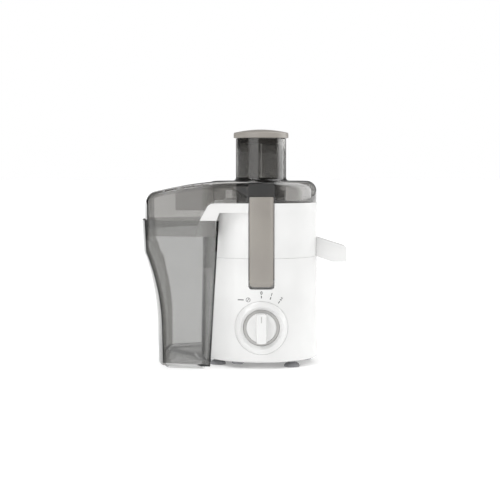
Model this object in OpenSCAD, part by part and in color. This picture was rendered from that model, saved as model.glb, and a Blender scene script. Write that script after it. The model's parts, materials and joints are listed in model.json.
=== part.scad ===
// Centrifugal juicer with a side pulp bin, standing on a table, in millimetres.
// +X points to the juice spout, -X to the pulp bin, -Y to the front with the dial, +Z up.
// The origin lies on the table, under the middle of the whole.

/* [Motor body] */
// Outer radius of the body at its foot
body_low_r = 86.4; // [84:0.2:92]
// Outer radius of the body at the seam under the juice bowl
body_high_r = 83.5; // [81:0.1:86]
// Gap between the table and the body's lower edge
body_lift = 9.3; // [7:0.1:14]
// Height of the seam between body and juice bowl
seam_z = 160; // [152:1:176]
// Wall of the motor housing
body_wall = 2.5; // [2:0.1:3.5]
// Rounding of the body's lower edge
body_edge_r = 5; // [3:0.5:8]
// Thickness of the deck that closes the housing's top
deck_t = 2.6; // [2:0.1:4]
// Radius of the opening in the deck round the drive
deck_hole_r = 18.5; // [16.5:0.1:19]

/* [Juice bowl] */
// Height of the step line round the bowl, which is the lip that the pulp flies over
step_z = 226.8; // [221.8:0.2:229.8]
// Height of the bowl's rim
rim_z = 240; // [237:1:250]
// Wall of the juice bowl
bowl_wall = 2.2; // [1.8:0.1:3]
// How far the rim band stands out beyond the bowl
band_proud = 0.7; // [0.3:0.1:1.5]
// Depth of the gutter under the bowl's hub
bowl_gutter = 5; // [3:0.5:8]
// Rise of the bowl's floor from the gutter to the hub
floor_rise = 8; // [4:1:11]
// Inner radius of the sleeve round the drive
sleeve_r = 21; // [19.5:0.1:23]
// Height of the sleeve above the seam
sleeve_h = 25; // [18:0.5:27]

/* [Pulp bin] */
// Height of the bin's rim
bin_rim_z = 215; // [208:1:218]
// Reach of the bin from the motor axis, at its rim
bin_reach = 177; // [170:1:190]
// Reach of the bin at its shoulder
bin_shoulder_reach = 174.8; // [168:0.2:186]
// Reach of the bin at its waist
bin_waist_reach = 155; // [148:1:160]
// Reach of the bin at its floor
bin_floor_reach = 154; // [146:1:158]
// Height of the bin's shoulder
bin_shoulder_z = 168; // [150:1:180]
// Height of the bin's waist
bin_waist_z = 55; // [40:1:80]
// How far the bin's sides stand out beyond the bowl
bin_side_out = 4.5; // [3:0.5:12]
// Distance from the motor axis to the line where the bin is widest
bin_wide_x = 60; // [56:1:66]
// Radius of the bin's front and rear walls in plan
bin_side_r = 246; // [220:1:300]
// Radius of the bin's end wall in plan
bin_end_r = 277; // [200:1:400]
// Distance from the motor axis to the bin's cheek at its rim
bin_cheek_x = 61.3; // [60:0.1:64]
// Lean of the bin's cheek from rim to floor
bin_cheek_lean = 13; // [8:0.5:18]
// Wall of the bin
bin_wall = 2.5; // [2:0.1:3]
// Floor of the bin
bin_floor_t = 3; // [2:0.5:5]
// Height of the foot ring under the bin
bin_foot_h = 4.5; // [3:0.5:6]
// Gap between the bin and the body that it wraps
bin_gap = 1.5; // [1:0.1:3]

/* [Lid] */
// Height of the lid's flat top
lid_top_z = 272; // [270:1:284]
// Wall of the lid
lid_wall = 2.2; // [1.8:0.1:3]
// How far the lid's side stands in from the bowl's
lid_set_in = 0.5; // [0:0.1:2]
// Rounding of the lid's top edge over the bowl
lid_edge_r = 15; // [8:1:18]
// Radius of the ridge over the bin, seen from the front
ridge_r = 520; // [400:10:800]
// Rounding between the ridge and the end wall
ridge_end_r = 24; // [15:1:35]
// Height of the skirt's lower edge inside the bin
skirt_z = 192; // [185:1:200]
// Depth of the lid's locating lip inside the bowl
lip_h = 4; // [2:0.5:5]
// Half width of the channels that take the latches
channel_half_w = 19; // [18:0.5:22]
// Depth of the channels from the bowl's surface
channel_depth = 11.5; // [8:0.5:13]
// Thickness of the ledge that the latches hold down
ledge_t = 2.7; // [2:0.1:4]
// Length of the pulp baffle that hangs in the lid
baffle_l = 60; // [30:1:66]
// Height of the baffle's lower edge
baffle_z = 226; // [218:1:235]
// Distance from the feed tube to the baffle
baffle_gap = 34; // [20:1:40]
// Distance of the baffle inside the bowl's surface
baffle_in = 23.5; // [20:0.5:40]

/* [Feed tube and pusher] */
// Outer radius of the feed tube
tube_r = 37.5; // [30:0.5:40]
// Height of the feed tube's mouth
tube_top_z = 335; // [310:1:360]
// Rounding between the feed tube and the lid
tube_fillet_r = 5; // [2:0.5:8]
// Running gap between the pusher and the feed tube
pusher_gap = 0.6; // [0.4:0.1:1.5]
// Wall of the pusher
pusher_wall = 2; // [1.5:0.1:3]
// Thickness of the crossed ribs inside the pusher
pusher_rib_t = 1.6; // [1:0.1:3]
// Depth of the cap's plug inside the pusher
plug_h = 8; // [6:0.5:12]
// Radius of the pusher's cap
cap_r = 40.9; // [39:0.1:46]
// Height of the cap's rim
cap_h = 8; // [5:0.5:12]
// Rise of the cap's domed top
cap_dome = 5; // [2:0.5:8]

/* [Sieve basket] */
// Height of the grater disc's upper face
grater_z = 197; // [195:0.5:204]
// Thickness of the grater disc
grater_t = 1; // [0.8:0.1:2]
// Radius of the grater disc
grater_r = 43; // [41:0.5:46]
// Inner radius of the sieve at its top
sieve_top_r = 66; // [62:0.5:67]
// Height of the sieve's top
sieve_top_z = 234; // [228:1:235]
// Thickness of the sieve
sieve_t = 1; // [0.8:0.1:1.5]
// Radius of the holes through the sieve
sieve_hole_r = 1.1; // [0.6:0.1:1.5]
// Rows of holes up the sieve
sieve_rows = 6; // [3:1:9]
// Holes in each row
sieve_holes = 30; // [12:2:48]
// Rings of teeth on the grater disc
tooth_rings = 4; // [2:1:4]
// Height of the grater's teeth
tooth_h = 1.4; // [0.8:0.1:2.5]
// Outer radius of the basket's rim
basket_r = 71.5; // [70:0.5:73]
// Height of the basket's rim
basket_rim_h = 6; // [4:0.5:8]

/* [Latches] */
// Half width of the latch
latch_half_w = 17.3; // [14:0.1:17.8]
// Radius of the latch's convex face, about the motor axis
latch_face_r = 86; // [85.6:0.1:89]
// Thickness of the latch's face
latch_t = 3; // [2:0.1:3.4]
// Height of the latch's lower end
latch_low_z = 119.4; // [115:0.2:122]
// Height of the latch's top
latch_top_z = 249; // [247:0.5:256]
// Height of the latch's hinge pin
latch_pin_z = 129; // [128:0.5:134]
// Distance of the hinge pin inside the bowl's surface
latch_pin_in = 4.5; // [3.9:0.1:5.7]
// Radius of the hinge pin
latch_pin_r = 1.5; // [1:0.1:2]
// Half width of the pocket that the latch lies in
pocket_half_w = 18.8; // [18.4:0.1:22]
// Depth of the pocket in the motor housing
pocket_depth = 12.5; // [11:0.1:14]
// Depth of the pocket in the juice bowl
bowl_pocket_depth = 7; // [6:0.1:8]
// Gap between the latch's lower end and the pocket
pocket_gap = 3.7; // [3:0.1:6]

/* [Dial] */
// Height of the dial's axis
dial_z = 60; // [56:1:66]
// Radius of the knob's disc
knob_r = 22; // [18:0.5:24]
// Width of the knob's grip bar
grip_w = 15; // [10:0.5:18]
// How far the grip bar stands out beyond the body
grip_out = 15; // [10:0.5:22]
// Outer radius of the ring round the knob
dial_ring_r = 26.2; // [25:0.1:27]
// Radius of the surround's lip
surround_lip_r = 31.5; // [29:0.5:35]
// Outer radius of the surround
surround_r = 38.5; // [37:0.5:41]
// How far the surround's lip stands out beyond the body
surround_proud = 2; // [1:0.5:4]

/* [Juice spout] */
// Reach of the spout from the motor axis
spout_reach = 127.5; // [120:0.5:145]
// Half width of the spout
spout_half_w = 16; // [12:0.5:20]
// Height of the spout's top edge at the bowl
spout_root_z = 188; // [184:1:196]
// Fall of the spout's top edge to its end
spout_fall = 13.5; // [8:0.5:20]
// Height of the spout's mouth
spout_mouth_z = 151.5; // [144:0.5:156]
// Length of the spout's mouth
spout_mouth_l = 21; // [16:0.5:26]
// Wall of the spout
spout_wall = 2.2; // [1.8:0.1:3]

/* [Feet] */
// Radius of a suction foot's disc
foot_r = 11.5; // [8:0.5:14]
// Radius of a suction foot's neck
foot_neck_r = 6.2; // [4:0.1:8]
// Distance of the feet from the body's lower edge
foot_edge = 16.4; // [14:0.2:26]

/* [Motor] */
// Half width of the stator's square lamination stack
stator_half_w = 34; // [30:0.5:38]
// Height of the lamination stack
stack_h = 36; // [28:1:42]
// Height of the stack's lower face
stack_z = 84; // [80:1:88]
// Radius of the armature
armature_r = 18.4; // [16:0.2:20]
// Air gap between armature and stator
air_gap = 0.6; // [0.4:0.1:1]
// Radius of the motor shaft
shaft_r = 4; // [3:0.1:5]
// Outer radius of the ball bearings
bearing_r = 11; // [9:0.5:12]
// Width of the ball bearings
bearing_w = 7; // [5:0.5:8]
// Radius of the cooling fan
fan_r = 33; // [28:0.5:36]
// Blades of the cooling fan
fan_blades = 12; // [6:1:16]
// Radius of the drive coupling
coupling_r = 14; // [12:0.2:15]

/* [Fits] */
// Gap between pieces that lie one against the other
gap = 0.3; // [0.25:0.05:0.4]
// Radial clearance of a running fit
run_fit = 0.05; // [0.02:0.01:0.08]

/* [Hidden] */

$fn = 96;
// Overlap of forms that belong to one solid, and how far a cut runs past its surface
bite = 0.5;
past = 10;

white = "#f4f4f2";
smoke = [0.42, 0.42, 0.41, 0.6];
warm_grey = "#a09c95";
pale_grey = "#b8b8b6";
dark_rubber = "#77787a";
steel = "#c9cbcc";
copper = "#b06a3a";
black = "#2a2a2b";

// The body's surface
function body_r(z) =
    z >= seam_z ? body_high_r : body_low_r + (body_high_r - body_low_r) * (z - body_lift) / (seam_z - body_lift);
body_in_r = body_high_r - body_wall;
bowl_in_r = body_high_r - bowl_wall;
lid_r = body_high_r - lid_set_in;
foot_circle_r = body_low_r - foot_edge;
deck_z = seam_z - deck_t;
band_r = body_high_r + band_proud;

// The bin's outline
bin_half_w = body_high_r + bin_side_out;
bin_side_c = bin_side_r - bin_half_w;
end_axis_x = bin_end_r - bin_reach;
bin_curve_dx = bin_shoulder_reach - bin_waist_reach;
bin_curve_dz = bin_shoulder_z - bin_waist_z;
bin_curve_r = (bin_curve_dz ^ 2 + bin_curve_dx ^ 2) / (2 * bin_curve_dx);
bin_curve_angle = asin(bin_curve_dz / bin_curve_r);
bin_base_z = bin_foot_h;

// The skirt lies inside the bin and the chute inside the skirt
skirt_inset = bin_wall + 0.4;
hook_inset = bin_half_w - band_r;
chute_inset = skirt_inset + lid_wall + 0.4;
lid_end_r = bin_end_r - skirt_inset - 1;
lid_seat_z = rim_z + gap;
baffle_y = body_high_r - baffle_in;
apron_r = body_high_r + bin_gap + bin_wall + 1.3;

// The chute's plates seen from the front: the sloping left edge and the right edge over the cheek
hook_corner_r = 12;
hook_left = [[-96, skirt_z], [-89, bin_rim_z], [-80.5, rim_z]];
hook_right = [
    [-bin_cheek_x - 5.2, skirt_z], [-bin_cheek_x - bin_wall - 1.2, bin_rim_z], [-bin_cheek_x + 0.9, step_z]
];

// The grater turns just under the feed tube
tube_in_r = tube_r - lid_wall;
tube_low_z = grater_z + tooth_h + 2.4;
pusher_r = tube_in_r - pusher_gap;
pusher_low_z = tube_low_z + 5;

// The latch's pocket
pocket_low_z = latch_low_z - pocket_gap;
pocket_back_y = body_high_r - pocket_depth;
bowl_pocket_y = body_high_r - bowl_pocket_depth;
channel_back_y = body_high_r - channel_depth;
latch_pin_y = body_high_r - latch_pin_in;
ledge_z = lid_seat_z + ledge_t;

// The dial, along -Y
dial_y = body_r(dial_z);

// The motor's levels
bottom_bearing_z = 26;
top_bearing_z = 130;
fan_z = 38;
fan_h = 12;
commutator_z = 54;
commutator_h = 16;
winding_h = 8;
winding_r = armature_r - 2.5;
coupling_z = seam_z + 13;
coupling_h = 14;
bracket_t = 2.5;
bracket_half_w = 11;
hub_z = coupling_z + 3;
grater_low_z = grater_z - grater_t;

// The origin lies under the middle of the whole
axis_x = (bin_reach - spout_reach) / 2;
axis_y = (dial_y + grip_out - bin_half_w) / 2;

module from_axis() {
    translate([axis_x, axis_y, 0])
        children();
}

// Points along an arc, from angle a0 to a1
function arc(c, r, a0, a1, n = 12) =
    [for (i = [0:n]) c + r * [cos(a0 + (a1 - a0) * i / n), sin(a0 + (a1 - a0) * i / n)]];

module mirror_pair_y() {
    children();
    mirror([0, 1, 0])
        children();
}

// Turned about the motor axis from a half section
module turned(points) {
    rotate_extrude()
        polygon(points);
}

module ring(r_out, r_in, z0, z1) {
    translate([0, 0, z0])
        difference() {
            cylinder(r = r_out, h = z1 - z0);
            translate([0, 0, -past])
                cylinder(r = r_in, h = z1 - z0 + 2 * past);
        }
}

// A flat plate standing in the XZ plane, from y0 to y1, cut to an outline of [x, z] points
module upright(points, y0, y1) {
    translate([0, y1, 0])
        rotate([90, 0, 0])
            linear_extrude(y1 - y0)
                polygon(points);
}

// The body's outer form, grown by extra
module body_form(extra, z0, z1) {
    turned([
        [0, z0], [body_r(z0) + extra, z0], [body_high_r + extra, seam_z],
        [body_high_r + extra, z1], [0, z1]
    ]);
}

// Half section of the housing's skin: a cone with a rounded lower edge, drawn in by inset
function housing_section(inset, z_low, z_high) = concat(
    [[0, z_low]],
    arc([body_r(body_lift) - body_edge_r, body_lift + body_edge_r], body_edge_r - inset, -90, 0),
    [[body_high_r - inset, z_high], [0, z_high]]
);

// A pocket's space, mouth outwards: rounded lower corners, grown by extra on its sides and floor
module pocket_space(back_y, z_top, extra) {
    corner = 5 + extra;
    half_w = pocket_half_w + extra;
    low_z = pocket_low_z - extra;
    translate([0, -back_y + extra, 0])
        rotate([90, 0, 0])
            linear_extrude(body_low_r + past - back_y + extra)
                union() {
                    for (side = [-1, 1])
                        translate([side * (half_w - corner), low_z + corner])
                            circle(r = corner);
                    translate([-half_w + corner, low_z])
                        square([2 * (half_w - corner), corner]);
                    translate([-half_w, low_z + corner])
                        square([2 * half_w, z_top - low_z - corner]);
                }
}

module latch_pin_bore(r, half_l) {
    translate([-half_l, -latch_pin_y, latch_pin_z])
        rotate([0, 90, 0])
            cylinder(r = r, h = 2 * half_l);
}

// Places children at each foot
module at_feet() {
    for (a = foot_angles)
        rotate([0, 0, a])
            translate([foot_circle_r, 0, 0])
                children();
}
foot_angles = [-50, 21, 130, 204];
foot_stem_r = 4;

// Places children at each screw of the base plate
screw_circle_r = body_low_r - 12.4;
screw_angles = [-10, 60, 165, 288];
screw_r = 1.6;
screw_l = 14;
pillar_h = 16;
pillar_r = 4.5;
rib_t = 2.4;
module at_base_screws() {
    for (a = screw_angles)
        rotate([0, 0, a])
            translate([screw_circle_r, 0, 0])
                children();
}
plate_z = body_lift + 1;
plate_t = 2.5;
plate_r = body_low_r - body_edge_r - 0.6;
inlet_z = 34;
inlet_r = 6.5;

module motor_housing() {
    color(white) from_axis()
        difference() {
            union() {
                difference() {
                    turned(housing_section(0, body_lift, seam_z));
                    turned(housing_section(body_wall, body_lift, deck_z));
                    translate([0, 0, body_lift - past])
                        cylinder(r = plate_r + gap, h = plate_z + plate_t - body_lift + past + gap);
                }
                // Raised collar of the deck round the drive
                ring(deck_hole_r + 2.5, deck_hole_r, deck_z, seam_z + 4);
                // Linings of the latch pockets
                mirror_pair_y()
                    intersection() {
                        pocket_space(pocket_back_y, seam_z - bite, body_wall);
                        body_form(-bite, plate_z + plate_t, seam_z - bite);
                    }
                // Screw pillars, each on a rib of the wall
                intersection() {
                    at_base_screws()
                        translate([0, 0, plate_z + plate_t + gap]) {
                            cylinder(r = pillar_r, h = pillar_h);
                            translate([0, -rib_t / 2, 0])
                                cube([body_low_r, rib_t, pillar_h]);
                        }
                    body_form(-bite, body_lift, seam_z);
                }
                // Pillars on the rear wall that carry the filter's board
                for (x = [-1, 1], z = [6, board_h - 6])
                    translate([x * (board_half_w - 5), body_in_r - bite, board_low_z + z])
                        rotate([90, 0, 0])
                            cylinder(r = 3, h = body_in_r - bite - board_y - board_t - gap);
                // Hanging pillars of the motor's dampers
                at_dampers()
                    translate([0, 0, damper_z + damper_h + gap])
                        cylinder(r = 5, h = deck_z + bite - damper_z - damper_h - gap);
            }
            mirror_pair_y() {
                pocket_space(pocket_back_y, seam_z + past, 0);
                latch_pin_bore(latch_pin_r + run_fit, pocket_half_w + body_wall);
            }
            // Seat of the dial's surround
            translate([0, -dial_y + past, dial_z])
                rotate([90, 0, 0])
                    cylinder(r = surround_r + gap, h = 2 * past);
            cylinder(r = deck_hole_r, h = seam_z + past);
            at_base_screws()
                translate([0, 0, plate_z])
                    cylinder(r = screw_r + run_fit, h = pillar_h + 2);
            // Hole for the mains cord's bush
            translate([0, body_r(inlet_z) - past, inlet_z])
                rotate([-90, 0, 0])
                    cylinder(r = inlet_r + gap, h = 2 * past);
        }
}

module base_plate() {
    color(white) from_axis()
        difference() {
            union() {
                translate([0, 0, plate_z])
                    cylinder(r = plate_r, h = plate_t);
                // Ribs across the plate's inner face
                for (a = [0:60:120])
                    rotate([0, 0, a + 15])
                        translate([-58, -1, plate_z])
                            cube([116, 2, plate_t + 5]);
                ring(30, 28, plate_z, plate_z + plate_t + 5);
            }
            at_feet()
                cylinder(r = foot_stem_r + gap, h = 3 * past);
            at_base_screws()
                translate([0, 0, plate_z - past])
                    cylinder(r = screw_r + run_fit, h = 2 * past + plate_t);
            // Slots that let the fan blow its air out
            for (a = [0:20:340])
                rotate([0, 0, a])
                    translate([34, -1.5, plate_z - past])
                        cube([14, 3, 2 * past]);
            rotate([0, 0, pad_angle])
                translate([pad_circle_r, 0, plate_z - past])
                    cylinder(r = pad_r - 2, h = 2 * past);
        }
}

pad_angle = 241;
pad_circle_r = 71;
pad_r = 9;

// Suction feet: a dished disc, a neck and a stem through the base plate
module feet() {
    color(dark_rubber) from_axis()
        at_feet()
            difference() {
                rotate_extrude()
                    polygon([
                        [0, 0], [foot_r, 0], [foot_r, 1], [foot_r - 1.5, 2.6],
                        [foot_neck_r, 4.4], [foot_neck_r, plate_z], [foot_stem_r, plate_z],
                        [foot_stem_r, plate_z + plate_t + gap],
                        [foot_stem_r + 1.6, plate_z + plate_t + gap],
                        [foot_stem_r - 1, plate_z + plate_t + 3], [0, plate_z + plate_t + 3]
                    ]);
                translate([0, 0, -8.6])
                    cylinder(r1 = 12, r2 = 5, h = 10);
            }
}

// Short rubber stop beside the front left foot
module front_pad() {
    color(dark_rubber) from_axis()
        rotate([0, 0, pad_angle])
            translate([pad_circle_r, 0, 0])
                rotate_extrude()
                    polygon([
                        [0, 5.3], [pad_r - 2, 5.3], [pad_r, 6.5], [pad_r, plate_z],
                        [pad_r - 2.3, plate_z], [pad_r - 2.3, plate_z + plate_t + 1],
                        [0, plate_z + plate_t + 1]
                    ]);
}

module base_screws() {
    color(steel) from_axis()
        at_base_screws() {
            translate([0, 0, plate_z])
                cylinder(r = screw_r, h = screw_l);
            translate([0, 0, plate_z - 1.8])
                cylinder(r = 3, h = 1.8);
        }
}

// Rubber bush in the rear wall, where the mains cord goes in
module cord_inlet() {
    color(black) from_axis()
        translate([0, body_r(inlet_z) - body_wall - 4, inlet_z])
            rotate([-90, 0, 0])
                rotate_extrude()
                    polygon([
                        [3.5, 0], [inlet_r + 3, 0], [inlet_r + 3, 2.4], [inlet_r, 2.4],
                        [inlet_r, 8.6], [3.5, 8.6]
                    ]);
}

// Dampers between the motor's top bracket and the deck
damper_h = 8;
damper_z = top_bearing_z + bearing_w + 1;
damper_span = 26;
module at_dampers() {
    for (a = [45:90:315])
        rotate([0, 0, a])
            translate([damper_span, 0, 0])
                children();
}

module motor_dampers() {
    color(black) from_axis()
        at_dampers()
            translate([0, 0, damper_z])
                cylinder(r = 6, h = damper_h);
}

stack_top_z = stack_z + stack_h;
pole_half_w = 19.6;
coil_x = armature_r + air_gap + 1;
coil_t = 6.5;
coil_w = 3.6;
coil_over = 8.7;
leg_at = 29;
leg_r = 3.2;

// Square stack of laminations with the bore, the coil windows and four bolt notches
module stator_core() {
    color(steel) from_axis()
        translate([0, 0, stack_z])
            difference() {
                translate([-stator_half_w, -stator_half_w, 0])
                    cube([2 * stator_half_w, 2 * stator_half_w, stack_h]);
                translate([0, 0, -past])
                    cylinder(r = armature_r + air_gap, h = stack_h + 2 * past);
                for (x = [-1, 1], y = [-1, 1])
                    translate([x * (coil_x + coil_t / 2), y * (pole_half_w + gap + coil_w / 2), stack_h / 2])
                        cube([coil_t + 2 * gap, coil_w + 2 * gap, stack_h + 2 * past], center = true);
                for (a = [45:90:315])
                    rotate([0, 0, a])
                        translate([stator_half_w * sqrt(2), 0, -past])
                            cylinder(r = 4, h = stack_h + 2 * past);
            }
}

// Two coils, each wound round one pole of the stator
module field_coils() {
    half_y = pole_half_w + gap + coil_w;
    color(copper) from_axis()
        for (side = [0, 180])
            rotate([0, 0, side])
                difference() {
                    translate([coil_x, -half_y, stack_z - coil_over])
                        cube([coil_t, 2 * half_y, stack_h + 2 * coil_over]);
                    translate([coil_x - past, -pole_half_w - gap, stack_z - gap])
                        cube([coil_t + 2 * past, 2 * (pole_half_w + gap), stack_h + 2 * gap]);
                }
}

slots = 12;
slot_w = 3.2;
slot_in_r = 10;
module at_slots() {
    for (i = [0:slots - 1])
        rotate([0, 0, i * 360 / slots])
            children();
}

module armature_core() {
    color(steel) from_axis()
        difference() {
            ring(armature_r, shaft_r + run_fit, stack_z, stack_top_z);
            at_slots()
                translate([slot_in_r, -slot_w / 2, stack_z - past])
                    cube([2 * armature_r, slot_w, stack_h + 2 * past]);
        }
}

// Bars of wire in the armature's slots, joined by the rounded bundles at both ends
module armature_windings() {
    bundle_h = winding_h;
    color(copper) from_axis()
        union() {
            at_slots()
                translate([slot_in_r + gap, gap - slot_w / 2, stack_z - bite])
                    cube([winding_r - slot_in_r, slot_w - 2 * gap, stack_h + 2 * bite]);
            for (z = [stack_z - gap - bundle_h, stack_top_z + gap])
                translate([0, 0, z])
                    rotate_extrude()
                        polygon([
                            [shaft_r + 1, 0], [winding_r - 3, 0], [winding_r, 3],
                            [winding_r, bundle_h - 3], [winding_r - 3, bundle_h],
                            [shaft_r + 1, bundle_h]
                        ]);
        }
}

commutator_r = 11;
bars = 24;
module commutator() {
    color(copper) from_axis()
        difference() {
            ring(commutator_r, shaft_r + run_fit, commutator_z, commutator_z + commutator_h);
            for (i = [0:bars - 1])
                rotate([0, 0, i * 360 / bars])
                    translate([commutator_r - 1, -0.3, commutator_z - past])
                        cube([past, 0.6, commutator_h + 2 * past]);
        }
}

shaft_low_z = bottom_bearing_z - 3;
shaft_top_z = coupling_z + coupling_h - 3;
module motor_shaft() {
    color(steel) from_axis()
        translate([0, 0, shaft_low_z])
            cylinder(r = shaft_r, h = shaft_top_z - shaft_low_z);
}

// Flat disc with straight blades that draw air through the motor
module cooling_fan() {
    color(black) from_axis() {
        ring(fan_r, shaft_r + run_fit, fan_z, fan_z + 1.8);
        ring(shaft_r + 5, shaft_r + run_fit, fan_z, fan_z + fan_h);
        for (i = [0:fan_blades - 1])
            rotate([0, 0, i * 360 / fan_blades])
                translate([shaft_r + 8, -0.8, fan_z])
                    cube([fan_r - shaft_r - 9, 1.6, fan_h]);
    }
}

module bearing(z) {
    color(steel) from_axis()
        difference() {
            ring(bearing_r, shaft_r + run_fit, z, z + bearing_w);
            // Grooves between the races on both faces
            for (face = [z - past + 0.8, z + bearing_w - 0.8])
                ring(bearing_r - 2.5, shaft_r + 2.5, face, face + past);
        }
}
module top_bearing() {
    bearing(top_bearing_z);
}
module bottom_bearing() {
    bearing(bottom_bearing_z);
}

module at_legs() {
    for (x = [-1, 1], y = [-1, 1])
        translate([x * leg_at, y * leg_at, 0])
            children();
}

// Bridge over the stator: a bearing seat in a plate on four legs
module top_bracket() {
    plate_low_z = damper_z - bracket_t;
    color(steel) from_axis()
        difference() {
            union() {
                translate([-leg_at - leg_r, -leg_at - leg_r, plate_low_z])
                    cube([2 * (leg_at + leg_r), 2 * (leg_at + leg_r), bracket_t]);
                translate([0, 0, top_bearing_z])
                    cylinder(r = bearing_r + 2.2, h = damper_z - top_bearing_z);
                at_legs()
                    translate([0, 0, stack_top_z])
                        cylinder(r = leg_r, h = plate_low_z + bite - stack_top_z);
            }
            translate([0, 0, top_bearing_z - past])
                cylinder(r = bearing_r + run_fit, h = past + bearing_w);
            cylinder(r = shaft_r + 2, h = seam_z);
        }
}

brush_z = commutator_z + commutator_h / 2;
brush_half_w = 3.2;
holder_half_w = 5;
strap_x = leg_at;

// Frame under the stator: a bearing seat on four arms, four legs and two straps for the brushes
module bottom_bracket() {
    plate_low_z = bottom_bearing_z + 3;
    color(steel) from_axis()
        difference() {
            union() {
                for (a = [45:90:315])
                    rotate([0, 0, a])
                        translate([0, -5, plate_low_z])
                            cube([leg_at * sqrt(2) + leg_r + 1, 10, bracket_t]);
                translate([0, 0, bottom_bearing_z])
                    cylinder(r = bearing_r + 2.2, h = bearing_w + 1);
                at_legs()
                    translate([0, 0, plate_low_z])
                        cylinder(r = leg_r, h = stack_z - plate_low_z);
                for (side = [-1, 1])
                    translate([side * strap_x - bracket_t / 2, -leg_at, brush_z - holder_half_w - 3])
                        cube([bracket_t, 2 * leg_at, 2 * holder_half_w + 6]);
            }
            translate([0, 0, bottom_bearing_z - past])
                cylinder(r = bearing_r + run_fit, h = past + bearing_w);
            cylinder(r = shaft_r + 2, h = seam_z / 2);
            translate([-2 * strap_x, -holder_half_w - gap, brush_z - holder_half_w - gap])
                cube([4 * strap_x, 2 * (holder_half_w + gap), 2 * (holder_half_w + gap)]);
        }
}

// Brass tubes that guide the brushes, each with a collar against its strap
module brush_holders() {
    color("#b9963c") from_axis()
        for (side = [0, 180])
            rotate([0, 0, side])
                difference() {
                    union() {
                        translate([commutator_r + 4, -holder_half_w, brush_z - holder_half_w])
                            cube([20, 2 * holder_half_w, 2 * holder_half_w]);
                        translate([strap_x + bracket_t / 2 + gap, -holder_half_w - 2, brush_z - holder_half_w - 2])
                            cube([2, 2 * holder_half_w + 4, 2 * holder_half_w + 4]);
                    }
                    translate([commutator_r, -brush_half_w - gap, brush_z - brush_half_w - gap])
                        cube([21.5, 2 * (brush_half_w + gap), 2 * (brush_half_w + gap)]);
                }
}

module carbon_brushes() {
    color(black) from_axis()
        for (side = [0, 180])
            rotate([0, 0, side])
                difference() {
                    translate([commutator_r - 2, -brush_half_w, brush_z - brush_half_w])
                        cube([19, 2 * brush_half_w, 2 * brush_half_w]);
                    translate([0, 0, brush_z - past])
                        cylinder(r = commutator_r + gap, h = 2 * past);
                }
}

lugs = 3;
// Splined dog on the shaft's end, which the basket drops over
module drive_coupling() {
    color(black) from_axis()
        difference() {
            union() {
                translate([0, 0, coupling_z])
                    cylinder(r = coupling_r - 4, h = coupling_h);
                for (i = [0:lugs - 1])
                    rotate([0, 0, i * 360 / lugs])
                        intersection() {
                            translate([0, -3.5, coupling_z])
                                cube([coupling_r + past, 7, coupling_h]);
                            cylinder(r = coupling_r, h = coupling_z + coupling_h);
                        }
            }
            cylinder(r = shaft_r + run_fit, h = shaft_top_z + gap);
        }
}

switch_face_y = dial_y - 10;
switch_l = 22;
switch_shaft_r = 3;
module about_dial(y) {
    translate([0, -y, dial_z])
        rotate([90, 0, 0])
            children();
}

// Body of the rotary switch behind the dial, with its three terminals
module rotary_switch() {
    color(black) from_axis()
        difference() {
            union() {
                translate([-15, -switch_face_y + gap, dial_z - 14])
                    cube([30, switch_l, 28]);
                for (x = [-9, 0, 9])
                    translate([x - 2.4, switch_l - switch_face_y, dial_z - 0.4])
                        cube([4.8, 8, 0.8]);
            }
            about_dial(switch_face_y - switch_l + 6)
                cylinder(r = switch_shaft_r + run_fit, h = switch_l);
        }
}

shaft_end_y = dial_y + 1;
module switch_shaft() {
    shaft_start_y = switch_face_y - switch_l + 8;
    color(steel) from_axis()
        about_dial(shaft_start_y)
            cylinder(r = switch_shaft_r, h = shaft_end_y - shaft_start_y);
}

knob_back_y = dial_y - 7;
knob_disc_t = 5.5;
// Round knob with a grip bar across its face
module knob() {
    color(white) from_axis()
        difference() {
            union() {
                about_dial(knob_back_y)
                    rotate_extrude()
                        polygon([
                            [0, 0], [knob_r, 0], [knob_r, knob_disc_t - 1], [knob_r - 1, knob_disc_t],
                            [0, knob_disc_t]
                        ]);
                about_dial(knob_back_y)
                    intersection() {
                        cylinder(r = knob_r, h = dial_y + grip_out - knob_back_y);
                        grip_bar();
                    }
            }
            about_dial(switch_face_y)
                cylinder(r = switch_shaft_r + run_fit, h = shaft_end_y + 1 - switch_face_y);
        }
}

// Grip bar with slightly narrowing sides and chamfered long edges, standing on z = 0
module grip_bar() {
    top = dial_y + grip_out - knob_back_y;
    edge = 1.5;
    rotate([90, 0, 0])
        translate([0, 0, -knob_r])
            linear_extrude(2 * knob_r)
                polygon([
                    [-grip_w / 2, 0], [grip_w / 2, 0], [grip_w / 2 - 0.6, top - edge],
                    [grip_w / 2 - edge - 0.6, top], [edge + 0.6 - grip_w / 2, top],
                    [0.6 - grip_w / 2, top - edge]
                ]);
}

// Ring between knob and surround, with a web behind the knob that carries the switch
module dial_ring() {
    color(pale_grey) from_axis()
        about_dial(switch_face_y)
            rotate_extrude()
                polygon([
                    [switch_shaft_r + 2, 0], [dial_ring_r, 0],
                    [dial_ring_r, knob_back_y + knob_disc_t - switch_face_y - 1.6],
                    [knob_r + gap, knob_back_y + knob_disc_t - switch_face_y - 0.6],
                    [knob_r + gap, knob_back_y - gap - switch_face_y],
                    [switch_shaft_r + 2, knob_back_y - gap - switch_face_y]
                ]);
}

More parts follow.
